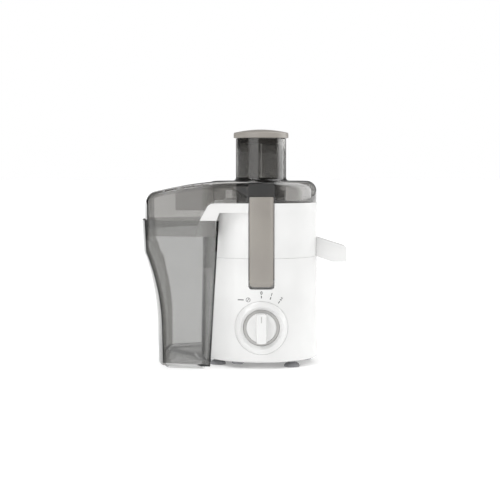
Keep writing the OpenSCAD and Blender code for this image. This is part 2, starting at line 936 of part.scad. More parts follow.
// The surround's section at one angle: it rises from the body's skin to the lip and dips to the ring
surround_back_y = switch_face_y;
function skin_y(r, a) =
    let (x = r * cos(a), z = dial_z + r * sin(a))
    sqrt(body_r(z) ^ 2 - x ^ 2);
function surround_loop(a) =
    let (lip_y = dial_y + surround_proud)
    [
        [dial_ring_r + gap, surround_back_y], [surround_r, surround_back_y],
        [surround_r, skin_y(surround_r, a)],
        [(surround_r + surround_lip_r) / 2 + 0.6, skin_y(surround_r, a) * 0.42 + lip_y * 0.58],
        [surround_lip_r + 0.8, lip_y - 0.5], [surround_lip_r, lip_y],
        [surround_lip_r - 1.2, lip_y - 0.4], [dial_ring_r + gap, dial_y - 2.5]
    ];
surround_steps = 64;
module dial_surround() {
    loops = [for (i = [0:surround_steps - 1]) surround_loop(i * 360 / surround_steps)];
    count = len(loops[0]);
    points = [
        for (i = [0:surround_steps - 1])
            let (a = i * 360 / surround_steps)
            for (p = loops[i]) [p[0] * cos(a), -p[1], dial_z + p[0] * sin(a)]
    ];
    faces = [
        for (i = [0:surround_steps - 1], k = [0:count - 1])
            let (j = (i + 1) % surround_steps, m = (k + 1) % count)
            let (a = i * count + k, b = i * count + m, c = j * count + m, d = j * count + k)
            each [[a, b, c], [a, c, d]]
    ];
    color(white) from_axis()
        polyhedron(points, faces);
}

// Interference filter of the motor: a board with its capacitor and choke, on the rear wall
board_half_w = 26;
board_low_z = 58;
board_h = 36;
board_y = body_in_r - 15;
board_t = 1.6;
filter_depth = 12;
capacitor_w = 18;
capacitor_h = 20;
choke_r = 9;
module filter_board() {
    color("#2f6b43") from_axis() {
        translate([-board_half_w, board_y, board_low_z])
            cube([2 * board_half_w, board_t, board_h]);
        translate([capacitor_w / 2 - board_half_w, board_y - filter_depth + bite, board_low_z + 8])
            cube([capacitor_w, filter_depth, capacitor_h]);
        translate([board_half_w - choke_r - 5, board_y + bite, board_low_z + board_h / 2])
            rotate([90, 0, 0])
                cylinder(r = choke_r, h = filter_depth);
    }
}

// Small lever switches that let the motor run only with both latches closed
module microswitch(angle) {
    color(black) from_axis()
        rotate([0, 0, angle])
            translate([0, pocket_back_y - body_wall - gap, 0])
                difference() {
                    translate([-10, -10, latch_pin_z - 4])
                        cube([20, 10, 16]);
                    for (x = [-5, 5])
                        translate([x, -5, latch_pin_z - 1])
                            translate([0, past, 0])
                                rotate([90, 0, 0])
                                    cylinder(r = 1.5, h = 2 * past);
                }
}
module front_microswitch() {
    microswitch(180);
}
module rear_microswitch() {
    microswitch(0);
}

// One latch, drawn at the front: a convex face, two cheeks with the pin's eyes, and a toe at the top
latch_cheek_t = 2.4;
eye_r = 5.5;
cheek_back_y = bowl_pocket_y + gap + 0.5;
toe_h = latch_top_z - ledge_z - gap;
toe_back_y = channel_back_y + 0.6;
module latch() {
    corner = 5.5;
    color(warm_grey) from_axis()
        difference() {
            union() {
                // Convex face with rounded lower corners
                intersection() {
                    ring(latch_face_r, latch_face_r - latch_t, latch_low_z, latch_top_z);
                    rotate([90, 0, 0])
                        linear_extrude(latch_face_r + past)
                            union() {
                                for (side = [-1, 1])
                                    translate([side * (latch_half_w - corner), latch_low_z + corner])
                                        circle(r = corner);
                                translate([-latch_half_w + corner, latch_low_z])
                                    square([2 * (latch_half_w - corner), corner]);
                                translate([-latch_half_w, latch_low_z + corner])
                                    square([2 * latch_half_w, latch_top_z - latch_low_z - corner]);
                            }
                }
                // Cheeks and eyes behind the face
                intersection() {
                    for (side = [-1, 1])
                        translate([side * (latch_half_w - latch_cheek_t / 2), 0, 0])
                            union() {
                                translate([-latch_cheek_t / 2, -latch_face_r, latch_pin_z])
                                    cube([
                                        latch_cheek_t, latch_face_r - cheek_back_y,
                                        latch_top_z - latch_pin_z
                                    ]);
                                translate([-latch_cheek_t / 2, -latch_pin_y, latch_pin_z])
                                    rotate([0, 90, 0])
                                        cylinder(r = eye_r, h = latch_cheek_t);
                            }
                    cylinder(r = latch_face_r - bite, h = latch_top_z);
                }
                // Toe over the lid's ledge, with a rib down the face's back
                intersection() {
                    union() {
                        translate([-latch_half_w, -latch_face_r, latch_top_z - toe_h])
                            cube([2 * latch_half_w, latch_face_r - toe_back_y, toe_h]);
                        translate([-1, -latch_face_r, latch_pin_z])
                            cube([2, latch_face_r - cheek_back_y - 1, latch_top_z - latch_pin_z]);
                    }
                    cylinder(r = latch_face_r - bite, h = latch_top_z);
                }
            }
            latch_pin_bore(latch_pin_r + run_fit, latch_half_w + past);
        }
}
module front_latch() {
    latch();
}
module rear_latch() {
    opposite()
        latch();
}

// Turns half a turn about the motor axis
module opposite() {
    translate([2 * axis_x, 2 * axis_y, 0])
        rotate([0, 0, 180])
            children();
}

module latch_pin() {
    color(steel) from_axis()
        latch_pin_bore(latch_pin_r, pocket_half_w + body_wall - gap);
}
module front_latch_pin() {
    latch_pin();
}
module rear_latch_pin() {
    opposite()
        latch_pin();
}

// The bin's outline from above, drawn in by inset
module bin_plan(inset) {
    intersection() {
        translate([-bin_wide_x, -bin_side_c])
            circle(r = bin_side_r - inset, $fn = 360);
        translate([-bin_wide_x, bin_side_c])
            circle(r = bin_side_r - inset, $fn = 360);
        translate([-bin_reach - past, -bin_half_w])
            square([bin_reach + past - bin_wide_x, 2 * bin_half_w]);
    }
    translate([-bin_wide_x, inset - bin_half_w])
        square([bin_wide_x, 2 * (bin_half_w - inset)]);
}

// The end wall's form about its own axis: upright to the waist, curved out to the shoulder, then leaning
module bin_end_form(inset) {
    r_at = end_axis_x - inset;
    low_z = -2 * past;
    high_z = bin_rim_z + 2 * past;
    translate([end_axis_x, 0, 0])
        rotate_extrude($fn = 360)
            polygon(concat(
                [[0, low_z], [r_at + bin_floor_reach, low_z], [r_at + bin_floor_reach, 0]],
                arc(
                    [r_at + bin_waist_reach + bin_curve_r, bin_waist_z], bin_curve_r,
                    180, 180 - bin_curve_angle, 16
                ),
                [[r_at + bin_reach, bin_rim_z], [r_at + bin_reach, high_z], [0, high_z]]
            ));
}

// Everything to the left of the cheek's sloping plane, seen from the front
module left_of_cheek(inset, z0, z1) {
    lean = bin_cheek_lean / bin_rim_z;
    cheek_x = -bin_cheek_x - inset;
    upright([
        [-bin_reach - 2 * past, z0], [cheek_x - lean * (bin_rim_z - z0), z0],
        [cheek_x + lean * (z1 - bin_rim_z), z1], [-bin_reach - 2 * past, z1]
    ], -bin_half_w - past, bin_half_w + past);
}

// The bin's form, drawn in by inset, from z0 to z1
module bin_form(inset, z0, z1) {
    difference() {
        intersection() {
            translate([0, 0, z0])
                linear_extrude(z1 - z0)
                    bin_plan(inset);
            bin_end_form(inset);
            left_of_cheek(inset, z0, z1);
        }
        body_form(bin_gap + inset, body_lift - past, bin_rim_z + 2 * past);
    }
}

module pulp_bin() {
    color(smoke) from_axis()
        difference() {
            union() {
                bin_form(0, bin_base_z, bin_rim_z);
                bin_form(8, 0, bin_base_z + bite);
            }
            bin_form(bin_wall, bin_base_z + bin_floor_t, bin_rim_z + past);
            bin_form(8 + bin_wall, -past, bin_base_z);
        }
}

// The pulp chute's form at the bowl's left, drawn in by inset, from z0 to z1
module chute_form(inset, z0, z1) {
    lean = 4 / (bin_rim_z - skirt_z);
    edge = hook_right[0][0] - inset;
    difference() {
        intersection() {
            translate([0, 0, z0])
                linear_extrude(z1 - z0)
                    bin_plan(chute_inset + inset);
            upright([
                [hook_left[0][0] - 3 * past, z0], [edge, z0], [edge, skirt_z],
                [hook_right[1][0] - inset, bin_rim_z], [hook_right[2][0] - inset, step_z],
                [hook_right[2][0] - inset, z1], [hook_left[0][0] - 3 * past, z1]
            ], -bin_half_w, bin_half_w);
        }
        cylinder(r = apron_r + inset, h = z1 + past);
    }
}

// Seen from the front, the side of the band and of the chute's plates
module hook_side(z_low, z_high) {
    corner = [hook_left[2][0] + hook_corner_r, rim_z - hook_corner_r];
    intersection() {
        upright(concat(
            [[0, rim_z], [0, step_z], hook_right[2], hook_right[1], hook_right[0], hook_left[0], hook_left[1]],
            arc(corner, hook_corner_r, 165, 90, 8)
        ), -bin_half_w, bin_half_w);
        translate([-bin_reach, -bin_half_w, z_low])
            cube([bin_reach, 2 * bin_half_w, z_high - z_low]);
    }
}

// The band's outline from above, drawn in by inset: round at the right, as wide as the bin at the left
module band_plan(inset) {
    circle(r = band_r - inset);
    intersection() {
        bin_plan(hook_inset + inset);
        translate([-bin_reach, -bin_half_w])
            square([bin_reach, 2 * bin_half_w]);
    }
}

module band_form(inset, z0, z1) {
    translate([0, 0, z0])
        linear_extrude(z1 - z0)
            band_plan(inset);
}

bowl_low_z = seam_z + gap;
gutter_z = bowl_low_z + bowl_gutter;
floor_top_z = gutter_z + bowl_wall;
sleeve_top_z = seam_z + sleeve_h;
port_w = 2 * spout_half_w - 6;
port_low_z = floor_top_z;
port_h = 14;

// Cup, sloping floor and central sleeve in one section
module bowl_cup() {
    turned([
        [sleeve_r, gutter_z + floor_rise - 3], [sleeve_r, sleeve_top_z],
        [sleeve_r + bowl_wall, sleeve_top_z], [sleeve_r + bowl_wall, floor_top_z + floor_rise],
        [bowl_in_r, floor_top_z], [bowl_in_r, step_z], [body_high_r, step_z],
        [body_high_r, bowl_low_z], [bowl_in_r, bowl_low_z], [bowl_in_r, gutter_z],
        [sleeve_r + bowl_wall, gutter_z + floor_rise], [sleeve_r + bowl_wall, gutter_z + floor_rise - 3]
    ]);
}

module juice_bowl() {
    color(white) from_axis()
        difference() {
            union() {
                difference() {
                    bowl_cup();
                    // Port of the juice spout
                    translate([0, -port_w / 2, port_low_z])
                        cube([body_high_r + past, port_w, port_h]);
                }
                // Rim band to the right and over the body
                difference() {
                    intersection() {
                        band_form(0, step_z - bite, rim_z);
                        union() {
                            translate([0, -bin_half_w, 0])
                                cube([bin_half_w, 2 * bin_half_w, rim_z]);
                            hook_side(step_z - bite, rim_z);
                        }
                    }
                    band_form(bowl_wall + band_proud, skirt_z, rim_z + past);
                }
                // Web from the cup to the band, left of the middle
                difference() {
                    intersection() {
                        band_form(band_proud, step_z - bite, step_z + bowl_wall);
                        translate([hook_right[2][0] - bowl_wall / 2, -bin_half_w, 0])
                            cube([bowl_wall / 2 - hook_right[2][0], 2 * bin_half_w, rim_z]);
                    }
                    cylinder(r = bowl_in_r, h = rim_z);
                }
                // Side plates outside, above the bin's rim
                difference() {
                    intersection() {
                        band_form(0, bin_rim_z + gap, rim_z);
                        hook_side(bin_rim_z + gap, rim_z);
                    }
                    band_form(bowl_wall, skirt_z, rim_z + past);
                }
                // Chute inside the skirt: side plates, cheeks and apron
                intersection() {
                    difference() {
                        chute_form(0, skirt_z, step_z);
                        chute_form(bowl_wall, skirt_z - past, step_z + past);
                    }
                    union() {
                        hook_side(skirt_z, rim_z);
                        cylinder(r = apron_r + bowl_wall, h = rim_z);
                    }
                }
                // Ledge that joins the plates above and below the bin's rim
                difference() {
                    intersection() {
                        band_form(0, bin_rim_z + gap, bin_rim_z + gap + bowl_wall);
                        hook_side(skirt_z, rim_z);
                        chute_form(-chute_inset, skirt_z, step_z);
                    }
                    chute_form(bowl_wall, skirt_z, step_z + past);
                }
                // Lip over the bin's rim, between cup and apron
                difference() {
                    intersection() {
                        ring(apron_r + bite, body_high_r - bite, step_z - bowl_wall, step_z);
                        translate([-bin_reach, -bin_half_w, 0])
                            cube([bin_reach + hook_right[2][0], 2 * bin_half_w, rim_z]);
                        band_form(band_proud, skirt_z, rim_z);
                    }
                    cylinder(r = bowl_in_r, h = rim_z);
                }
                // Linings of the latch pockets
                mirror_pair_y()
                    intersection() {
                        translate([-pocket_half_w - bowl_wall, -bowl_pocket_y - past, bowl_low_z])
                            cube([2 * (pocket_half_w + bowl_wall), past + bowl_wall, rim_z - bowl_low_z]);
                        translate([0, 0, bowl_low_z])
                            cylinder(r = body_high_r - bite, h = rim_z - bowl_low_z);
                        translate([-bin_half_w, -bowl_pocket_y - 2 * past, 0])
                            cube([2 * bin_half_w, 2 * past + bowl_wall, rim_z]);
                    }
            }
            mirror_pair_y()
                translate([-pocket_half_w, -bin_half_w, seam_z - past])
                    cube([2 * pocket_half_w, bin_half_w - bowl_pocket_y, rim_z - seam_z + 2 * past]);
        }
}

// Side view of the spout, drawn in by inset: a falling channel with a mouth that points down
module spout_form(inset, root_x) {
    end_top_z = spout_root_z - spout_fall;
    mouth_x = spout_reach - spout_mouth_l;
    root_low_z = seam_z - bite;
    upright([
        [root_x, spout_root_z - inset], [body_high_r, spout_root_z - inset],
        [spout_reach - inset, end_top_z - inset],
        [spout_reach - inset, spout_mouth_z - (inset > 0 ? past : 0)],
        [mouth_x + inset, spout_mouth_z - (inset > 0 ? past : 0)],
        [mouth_x + inset, spout_mouth_z + inset],
        [body_high_r, root_low_z + inset], [root_x, root_low_z + inset]
    ], inset - spout_half_w, spout_half_w - inset);
}

module juice_spout() {
    color(white) from_axis()
        difference() {
            union() {
                difference() {
                    spout_form(0, body_high_r - 3 * past);
                    body_form(gap, body_lift, step_z);
                }
                // Neck that sits in the bowl's port
                difference() {
                    translate([0, gap - port_w / 2, port_low_z + gap])
                        cube([body_high_r + 1, port_w - 2 * gap, port_h - 2 * gap]);
                    cylinder(r = bowl_in_r + 0.2, h = rim_z);
                }
            }
            difference() {
                spout_form(spout_wall, body_high_r);
                cylinder(r = body_high_r + spout_wall, h = rim_z);
            }
            translate([0, gap + spout_wall - port_w / 2, port_low_z + gap + spout_wall / 2])
                cube([
                    body_high_r + 2 * spout_wall, port_w - 2 * (gap + spout_wall),
                    port_h - 2 * gap - spout_wall
                ]);
        }
}

sieve_low_z = grater_low_z;
sieve_low_r = grater_r + gap;
sieve_lean = atan((sieve_top_r - sieve_low_r) / (sieve_top_z - sieve_low_z));

// Conical steel sieve with rows of holes square to its wall
module sieve() {
    row_step = (sieve_top_z - 3 - grater_z) / (sieve_rows + 0.5);
    color(steel) from_axis()
        difference() {
            turned([
                [sieve_low_r, sieve_low_z], [sieve_low_r + sieve_t, sieve_low_z],
                [sieve_top_r + sieve_t, sieve_top_z], [sieve_top_r, sieve_top_z]
            ]);
            for (row = [1:sieve_rows], i = [0:sieve_holes - 1])
                rotate([0, 0, (i + row / 2) * 360 / sieve_holes])
                    translate([
                        sieve_low_r + row * row_step * tan(sieve_lean), 0,
                        sieve_low_z + row * row_step
                    ])
                        rotate([0, 90 + sieve_lean, 0])
                            translate([0, 0, -2])
                                cylinder(r = sieve_hole_r, h = 6, $fn = 16);
        }
}

// Steel disc with rings of raised, slanting teeth
module grater_disc() {
    ring_step = (grater_r - 11) / tooth_rings;
    color(steel) from_axis()
        union() {
            translate([0, 0, grater_low_z])
                cylinder(r = grater_r, h = grater_t);
            for (k = [1:tooth_rings])
                let (r = 8 + k * ring_step, n = 4 + 4 * k)
                for (i = [0:n - 1])
                    rotate([0, 0, (i + k / 2) * 360 / n])
                        translate([r - 2.2, 0, grater_z - 0.4])
                            rotate([0, 90, 0])
                                linear_extrude(2.6)
                                    polygon([[0, -1.6], [-tooth_h - 0.4, 0.3], [0, 0.9]]);
        }
}

// Plastic rim that stiffens the sieve's top
module basket_rim() {
    top_z = sieve_top_z + gap + 2;
    color(warm_grey) from_axis()
        turned([
            [sieve_top_r + sieve_t + gap, top_z - basket_rim_h], [basket_r, top_z - basket_rim_h],
            [basket_r, top_z - 1], [basket_r - 1, top_z], [sieve_top_r - 0.5, top_z],
            [sieve_top_r - 0.5, sieve_top_z + gap], [sieve_top_r + sieve_t + gap, sieve_top_z + gap]
        ]);
}

hub_roof_z = coupling_z + coupling_h + gap;
hub_plate_z = grater_low_z - gap - 2.5;
hub_r = 19.5;
// Plastic hub under the disc: socket over the drive, skirt round the bowl's sleeve, plate to the sieve
module basket_hub() {
    color(white) from_axis()
        difference() {
            union() {
                turned([
                    [0, hub_z], [hub_r, hub_z], [hub_r, hub_roof_z], [sleeve_r + bowl_wall + 1.5, hub_roof_z],
                    [sleeve_r + bowl_wall + 1.5, hub_z + 6], [sleeve_r + bowl_wall + 4, hub_z + 6],
                    [sleeve_r + bowl_wall + 5, hub_plate_z], [sieve_low_r + sieve_t + 1, hub_plate_z],
                    [sieve_low_r + sieve_t + 1, hub_plate_z + 2.5], [0, hub_plate_z + 2.5]
                ]);
                for (a = [15:60:315])
                    rotate([0, 0, a])
                        translate([sleeve_r + bowl_wall + 4, -1, hub_z + 8])
                            cube([14, 2, hub_plate_z + 1 - hub_z - 8]);
            }
            // Socket: a round hole with a slot for each lug
            translate([0, 0, hub_z - past])
                cylinder(r = coupling_r - 4 + gap, h = hub_roof_z - hub_z + past);
            for (i = [0:lugs - 1])
                rotate([0, 0, i * 360 / lugs])
                    intersection() {
                        translate([0, -3.5 - gap, hub_z - past])
                            cube([2 * coupling_r, 7 + 2 * gap, hub_roof_z - hub_z + past]);
                        cylinder(r = coupling_r + gap, h = hub_roof_z);
                    }
        }
}

// Ridge of the lid over the bin, seen from the front and drawn in by inset, then lowered by drop
ridge_x = -30;
dome_edge_r = 7;
function ridge_line(inset, drop) =
    let (r = ridge_r - inset, e = ridge_end_r - inset)
    let (c = [ridge_x, lid_top_z - ridge_r])
    let (end_x = ridge_end_r - (lid_end_r - end_axis_x))
    let (end_z = c[1] + sqrt((r - e) ^ 2 - (end_x - c[0]) ^ 2))
    let (a = atan2(end_z - c[1], end_x - c[0]))
    [for (p = concat(arc(c, r, 90, a, 12), arc([end_x, end_z], e, a, 180, 6))) p - [0, drop]];

// One slice of the dome's form: its outline from above and its end wall, stepped in, under its lowered ridge
module dome_slice(inset, step, drop, right_x) {
    plan_inset = skirt_inset + inset + step;
    intersection() {
        translate([0, 0, skirt_z - past])
            linear_extrude(lid_top_z + past - skirt_z)
                union() {
                    bin_plan(plan_inset, $fn = 180);
                    translate([-past, plan_inset - bin_half_w])
                        square([past + right_x, 2 * (bin_half_w - plan_inset)]);
                }
        translate([end_axis_x, 0, skirt_z - past])
            cylinder(r = lid_end_r - inset - step, h = lid_top_z, $fn = 180);
        upright(concat(
            [[right_x, skirt_z - past], [right_x, lid_top_z - inset - drop]],
            ridge_line(inset, drop),
            [[end_axis_x - lid_end_r + inset, skirt_z - past]]
        ), -bin_half_w, bin_half_w);
    }
}

// The dome over the bin with its top edge rounded, drawn in by inset
module dome_form(inset, right_x) {
    hull()
        for (t = [0:22.5:90])
            dome_slice(inset, dome_edge_r * (1 - cos(t)), dome_edge_r * (1 - sin(t)), right_x);
}

module cap_form(inset, z0) {
    turned(concat(
        [[0, z0], [lid_r - inset, z0]],
        arc([lid_r - lid_edge_r, lid_top_z - lid_edge_r], lid_edge_r - inset, 0, 90),
        [[0, lid_top_z - inset]]
    ));
}

// The space of the bowl's band and hooks under the lid, with clearance
module hook_space() {
    c = 0.4;
    corner = [hook_left[2][0] + hook_corner_r, rim_z - hook_corner_r];
    upright(concat(
        [
            [bin_half_w, lid_seat_z], [bin_half_w, skirt_z - 2 * past],
            [hook_right[0][0] + c, skirt_z - 2 * past], [hook_right[0][0] + c, bin_rim_z - c],
            [hook_left[1][0] - c, bin_rim_z - c]
        ],
        arc(corner, hook_corner_r + c, 165, 90, 8)
    ), -bin_half_w - past, bin_half_w + past);
}

module channel_lining() {
    half_w = channel_half_w + lid_wall;
    translate([-half_w, -bin_half_w, lid_seat_z])
        cube([2 * half_w, bin_half_w - channel_back_y + lid_wall, lid_top_z - lid_wall - lid_seat_z]);
}

module channel_space() {
    ceiling_z = lid_top_z - lid_wall - 1.2;
    translate([-channel_half_w, -bin_half_w - past, ledge_z])
        cube([2 * channel_half_w, bin_half_w + past - channel_back_y, ceiling_z - ledge_z]);
    translate([-channel_half_w, -bin_half_w - past, lid_seat_z - past])
        cube([2 * channel_half_w, bin_half_w + past - bowl_pocket_y - gap, 2 * past]);
}

// Everything that the lid's outside encloses
module lid_outside() {
    cap_form(0, lid_seat_z);
    difference() {
        dome_form(0, 0);
        hook_space();
        translate([-bin_reach, -bin_half_w, skirt_z - 2 * past])
            cube([2 * bin_reach, 2 * bin_half_w, 2 * past]);
    }
}

module lid() {
    color(smoke) from_axis()
        difference() {
            union() {
                difference() {
                    lid_outside();
                    cap_form(lid_wall, lid_seat_z - past);
                    dome_form(lid_wall, lid_wall);
                }
                // Linings of the channels, and the baffle that turns the pulp down
                intersection() {
                    union() {
                        mirror_pair_y()
                            channel_lining();
                        translate([-tube_r - baffle_gap - baffle_l, baffle_y, baffle_z])
                            cube([baffle_l, lid_wall, lid_top_z - baffle_z]);
                    }
                    union() {
                        cap_form(bite, lid_seat_z);
                        dome_form(bite, 0);
                    }
                }
                // Locating lip inside the bowl's rim
                intersection() {
                    ring(bowl_in_r - 0.4, bowl_in_r - 0.4 - lid_wall, rim_z - lip_h, rim_z + lip_h);
                    translate([pocket_half_w + 2 * bowl_wall, -bin_half_w, 0])
                        cube([bin_half_w, 2 * bin_half_w, lid_top_z]);
                }
                ring(tube_r, tube_in_r, tube_low_z, tube_top_z);
                // Fillet round the foot of the feed tube
                turned(concat(
                    [[tube_in_r + bite, lid_top_z - lid_wall], [tube_r + tube_fillet_r, lid_top_z - bite]],
                    arc([tube_r + tube_fillet_r, lid_top_z + tube_fillet_r], tube_fillet_r, 270, 180, 8),
                    [[tube_in_r + bite, lid_top_z + tube_fillet_r]]
                ));
            }
            mirror_pair_y()
                channel_space();
            translate([0, 0, tube_low_z - past])
                cylinder(r = tube_in_r, h = tube_top_z);
        }
}

pusher_top_z = tube_top_z + 3;
// Hollow food pusher, closed below and stiffened by two crossed ribs up to the cap's plug
module pusher_body() {
    rib_top_z = tube_top_z - plug_h;
    rib_l = 2 * (pusher_r - pusher_wall + bite);
    color(smoke) from_axis() {
        difference() {
            translate([0, 0, pusher_low_z])
                cylinder(r = pusher_r, h = pusher_top_z - pusher_low_z);
            translate([0, 0, pusher_low_z + pusher_wall])
                cylinder(r = pusher_r - pusher_wall, h = pusher_top_z);
        }
        for (a = [0, 90])
            rotate(a)
                translate([-rib_l / 2, -pusher_rib_t / 2, pusher_low_z + bite])
                    cube([rib_l, pusher_rib_t, rib_top_z - pusher_low_z - bite]);
    }
}

// Cap that closes the pusher and rests on the feed tube's mouth
module pusher_cap() {
    low_z = tube_top_z + gap;
    dome_r = (cap_r ^ 2 + cap_dome ^ 2) / (2 * cap_dome);
    dome_a = asin((cap_r - 1.5) / dome_r);
    color(warm_grey) from_axis()
        turned(concat(
            [
                [0, low_z - plug_h], [pusher_r - pusher_wall - gap, low_z - plug_h],
                [pusher_r - pusher_wall - gap, pusher_top_z + gap], [pusher_r + gap, pusher_top_z + gap],
                [pusher_r + gap, low_z], [cap_r, low_z], [cap_r, low_z + cap_h - 1.5]
            ],
            arc([0, low_z + cap_h + cap_dome - dome_r], dome_r, 90 - dome_a, 90, 8)
        ));
}

motor_housing();
base_plate();
feet();
front_pad();
base_screws();
cord_inlet();
stator_core();
field_coils();
armature_core();
armature_windings();
commutator();
motor_shaft();
cooling_fan();
top_bearing();
bottom_bearing();
top_bracket();
bottom_bracket();
motor_dampers();
brush_holders();
carbon_brushes();
drive_coupling();
rotary_switch();
switch_shaft();
knob();
dial_ring();
dial_surround();
filter_board();
front_microswitch();
rear_microswitch();
front_latch();
rear_latch();
front_latch_pin();
rear_latch_pin();
juice_bowl();
juice_spout();
sieve();
grater_disc();
basket_rim();
basket_hub();
lid();
pusher_body();
pusher_cap();
pulp_bin();
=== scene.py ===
# %% [markdown]
# # A centrifugal juicer
# A white motor body carries a basket that spins. A smoke-grey lid closes over the basket
# and over the bin at the left, and a pusher feeds fruit down the tube on top.
# The measured solids come from the CAD model. This lesson puts the visible mouldings
# over them, with rounded edges and real wall thicknesses, and gives each part its finish.

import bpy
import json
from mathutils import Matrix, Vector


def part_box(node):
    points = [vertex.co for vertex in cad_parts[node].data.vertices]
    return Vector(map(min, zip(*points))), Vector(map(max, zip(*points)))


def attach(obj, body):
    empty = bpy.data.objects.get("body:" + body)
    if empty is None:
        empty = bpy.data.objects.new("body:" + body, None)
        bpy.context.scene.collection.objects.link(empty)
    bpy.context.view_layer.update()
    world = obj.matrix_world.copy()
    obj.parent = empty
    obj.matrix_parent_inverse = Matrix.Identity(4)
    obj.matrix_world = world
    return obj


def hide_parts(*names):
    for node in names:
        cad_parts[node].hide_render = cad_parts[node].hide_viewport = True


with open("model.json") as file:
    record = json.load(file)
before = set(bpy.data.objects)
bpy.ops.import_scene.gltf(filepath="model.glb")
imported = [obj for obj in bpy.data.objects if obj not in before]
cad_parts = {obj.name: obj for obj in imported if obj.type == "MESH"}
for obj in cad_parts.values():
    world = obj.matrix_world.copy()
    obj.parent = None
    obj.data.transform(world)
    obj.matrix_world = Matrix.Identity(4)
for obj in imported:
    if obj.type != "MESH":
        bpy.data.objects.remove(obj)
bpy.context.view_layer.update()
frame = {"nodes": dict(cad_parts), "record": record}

# %% [markdown]
# Every round moulding of a juicer is centred on the motor shaft, so all places are given
# from the shaft, in millimetres. One function turns such a place into Blender's metres.

# %% Find the motor axis
import json
import math

import bmesh
import bpy
from mathutils import Matrix, Vector

MM = 0.001
shaft_low, shaft_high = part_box("motor_shaft")
AXIS = Vector(((shaft_low.x + shaft_high.x) / 2, (shaft_low.y + shaft_high.y) / 2, 0))


def at(x, y, z):
    """A place in millimetres from the motor axis and the table, in metres."""
    return AXIS + Vector((x, y, z)) * MM


print("motor axis, mm:", [round(v / MM, 2) for v in AXIS])

# %% [markdown]
# ## Camera and studio
# A long lens from two metres away keeps the walls of the body nearly upright.
# The camera stands a little left of the shaft and looks down by about three degrees.

# %% Set up the camera
bpy.ops.object.camera_add(location=at(-16.5, -2025, 288), rotation=(math.radians(90 - 3.39), 0, 0))
camera = bpy.context.object
camera.name = "product_camera"
camera.data.lens = 97.2
camera.data.sensor_width = 36
camera.data.clip_end = 40
bpy.context.scene.camera = camera
bpy.context.scene.view_settings.view_transform = "Standard"
print("camera at, m:", [round(v, 3) for v in camera.location])

# %% [markdown]
# ## Materials
# One function turns an sRGB hex value into Blender's linear colour, and one adds a node
# with its settings and its links. The others make what materials share: the place on an
# object, the noise that grains and ripples are drawn from, relief and arithmetic.
# A material is named for the real stuff it stands for.

# %% Helpers for materials
def linear(hex_value):
    """A colour picked as #rrggbb, as linear light."""
    channels = [int(hex_value[i:i + 2], 16) / 255 for i in (1, 3, 5)]
    return [c / 12.92 if c <= 0.04045 else ((c + 0.055) / 1.055) ** 2.4 for c in channels] + [1]


def add_node(tree, kind, settings=None, inputs=None, links=None):
    """A node of this kind, with attributes, socket values and sockets linked to it."""
    node = tree.nodes.new(kind)
    for name, value in (settings or {}).items():
        setattr(node, name, value)
    for name, value in (inputs or {}).items():
        node.inputs[name].default_value = value
    for name, source in (links or {}).items():
        tree.links.new(source, node.inputs[name])
    return node


def new_material(name):
    """An empty node material and its output node."""
    material = bpy.data.materials.new(name)
    material.use_nodes = True
    material.node_tree.nodes.clear()
    return material, material.node_tree, material.node_tree.nodes.new("ShaderNodeOutputMaterial")


def object_place(tree):
    """The socket that gives a point's place in its object."""
    return add_node(tree, "ShaderNodeTexCoord").outputs["Object"]


def noise(tree, place, width, detail):
    """A noise whose pattern is about width millimetres across, laid out by a place socket."""
    return add_node(tree, "ShaderNodeTexNoise", inputs={"Scale": 1 / (width * MM), "Detail": detail},
                    links={"Vector": place}).outputs["Fac"]


def bump(tree, height, strength, depth, **under):
    """Relief by a height socket, up to depth millimetres deep, on top of the relief under it."""
    return add_node(tree, "ShaderNodeBump", inputs={"Strength": strength, "Distance": depth * MM},
                    links={"Height": height, **under}).outputs["Normal"]


def calc(tree, operation, inputs, links, clamp=False):
    """One step of arithmetic on values and sockets."""
    settings = {"operation": operation, "use_clamp": clamp}
    return add_node(tree, "ShaderNodeMath", settings, inputs, links).outputs["Value"]


print("white is", linear("#ffffff"))

# %% [markdown]
# Most of the juicer is injection-moulded ABS. The mould leaves it smooth with a soft gloss,
# and a very shallow ripple where the melt shrank. The ripple is some centimetres wide,
# and only the reflections show it. A fine grain of about half a millimetre breaks up the
# highlights, as the texture of a worn mould does.

# %% Moulded ABS
def moulded_abs(name, colour, darker, roughness, ripple=0.04):
    """Opaque moulded plastic: its colour drifts a little, as pigment does in a thick wall."""
    material, tree, output = new_material(name)
    place = object_place(tree)
    drift = noise(tree, place, 60, 2)
    tint = add_node(tree, "ShaderNodeValToRGB", links={"Fac": drift})
    tint.color_ramp.elements[0].position = 0.35
    tint.color_ramp.elements[0].color = linear(darker)
    tint.color_ramp.elements[1].position = 0.65
    tint.color_ramp.elements[1].color = linear(colour)
    grain = noise(tree, place, 0.5, 3)
    gloss = add_node(tree, "ShaderNodeMapRange",
                     inputs={"To Min": roughness - 0.03, "To Max": roughness + 0.05},
                     links={"Value": grain})
    fine = bump(tree, grain, ripple, 0.1)
    surface = add_node(tree, "ShaderNodeBsdfPrincipled", inputs={"IOR": 1.53},
                       links={"Base Color": tint.outputs["Color"], "Roughness": gloss.outputs["Result"],
                              "Normal": bump(tree, drift, ripple, 1, Normal=fine)})
    tree.links.new(surface.outputs["BSDF"], output.inputs["Surface"])
    return material


WHITE_ABS = moulded_abs("white_abs", "#ececeb", "#e6e6e5", 0.22)
GREY_ABS = moulded_abs("warm_grey_abs", "#9d9891", "#95908a", 0.28)
RING_ABS = moulded_abs("pale_grey_abs", "#bcbbb9", "#b5b4b2", 0.4)
BLACK_NYLON = moulded_abs("black_glass_filled_nylon", "#2a2a2b", "#232324", 0.5, ripple=0.1)
print("ABS:", WHITE_ABS.name, GREY_ABS.name, RING_ABS.name, BLACK_NYLON.name)

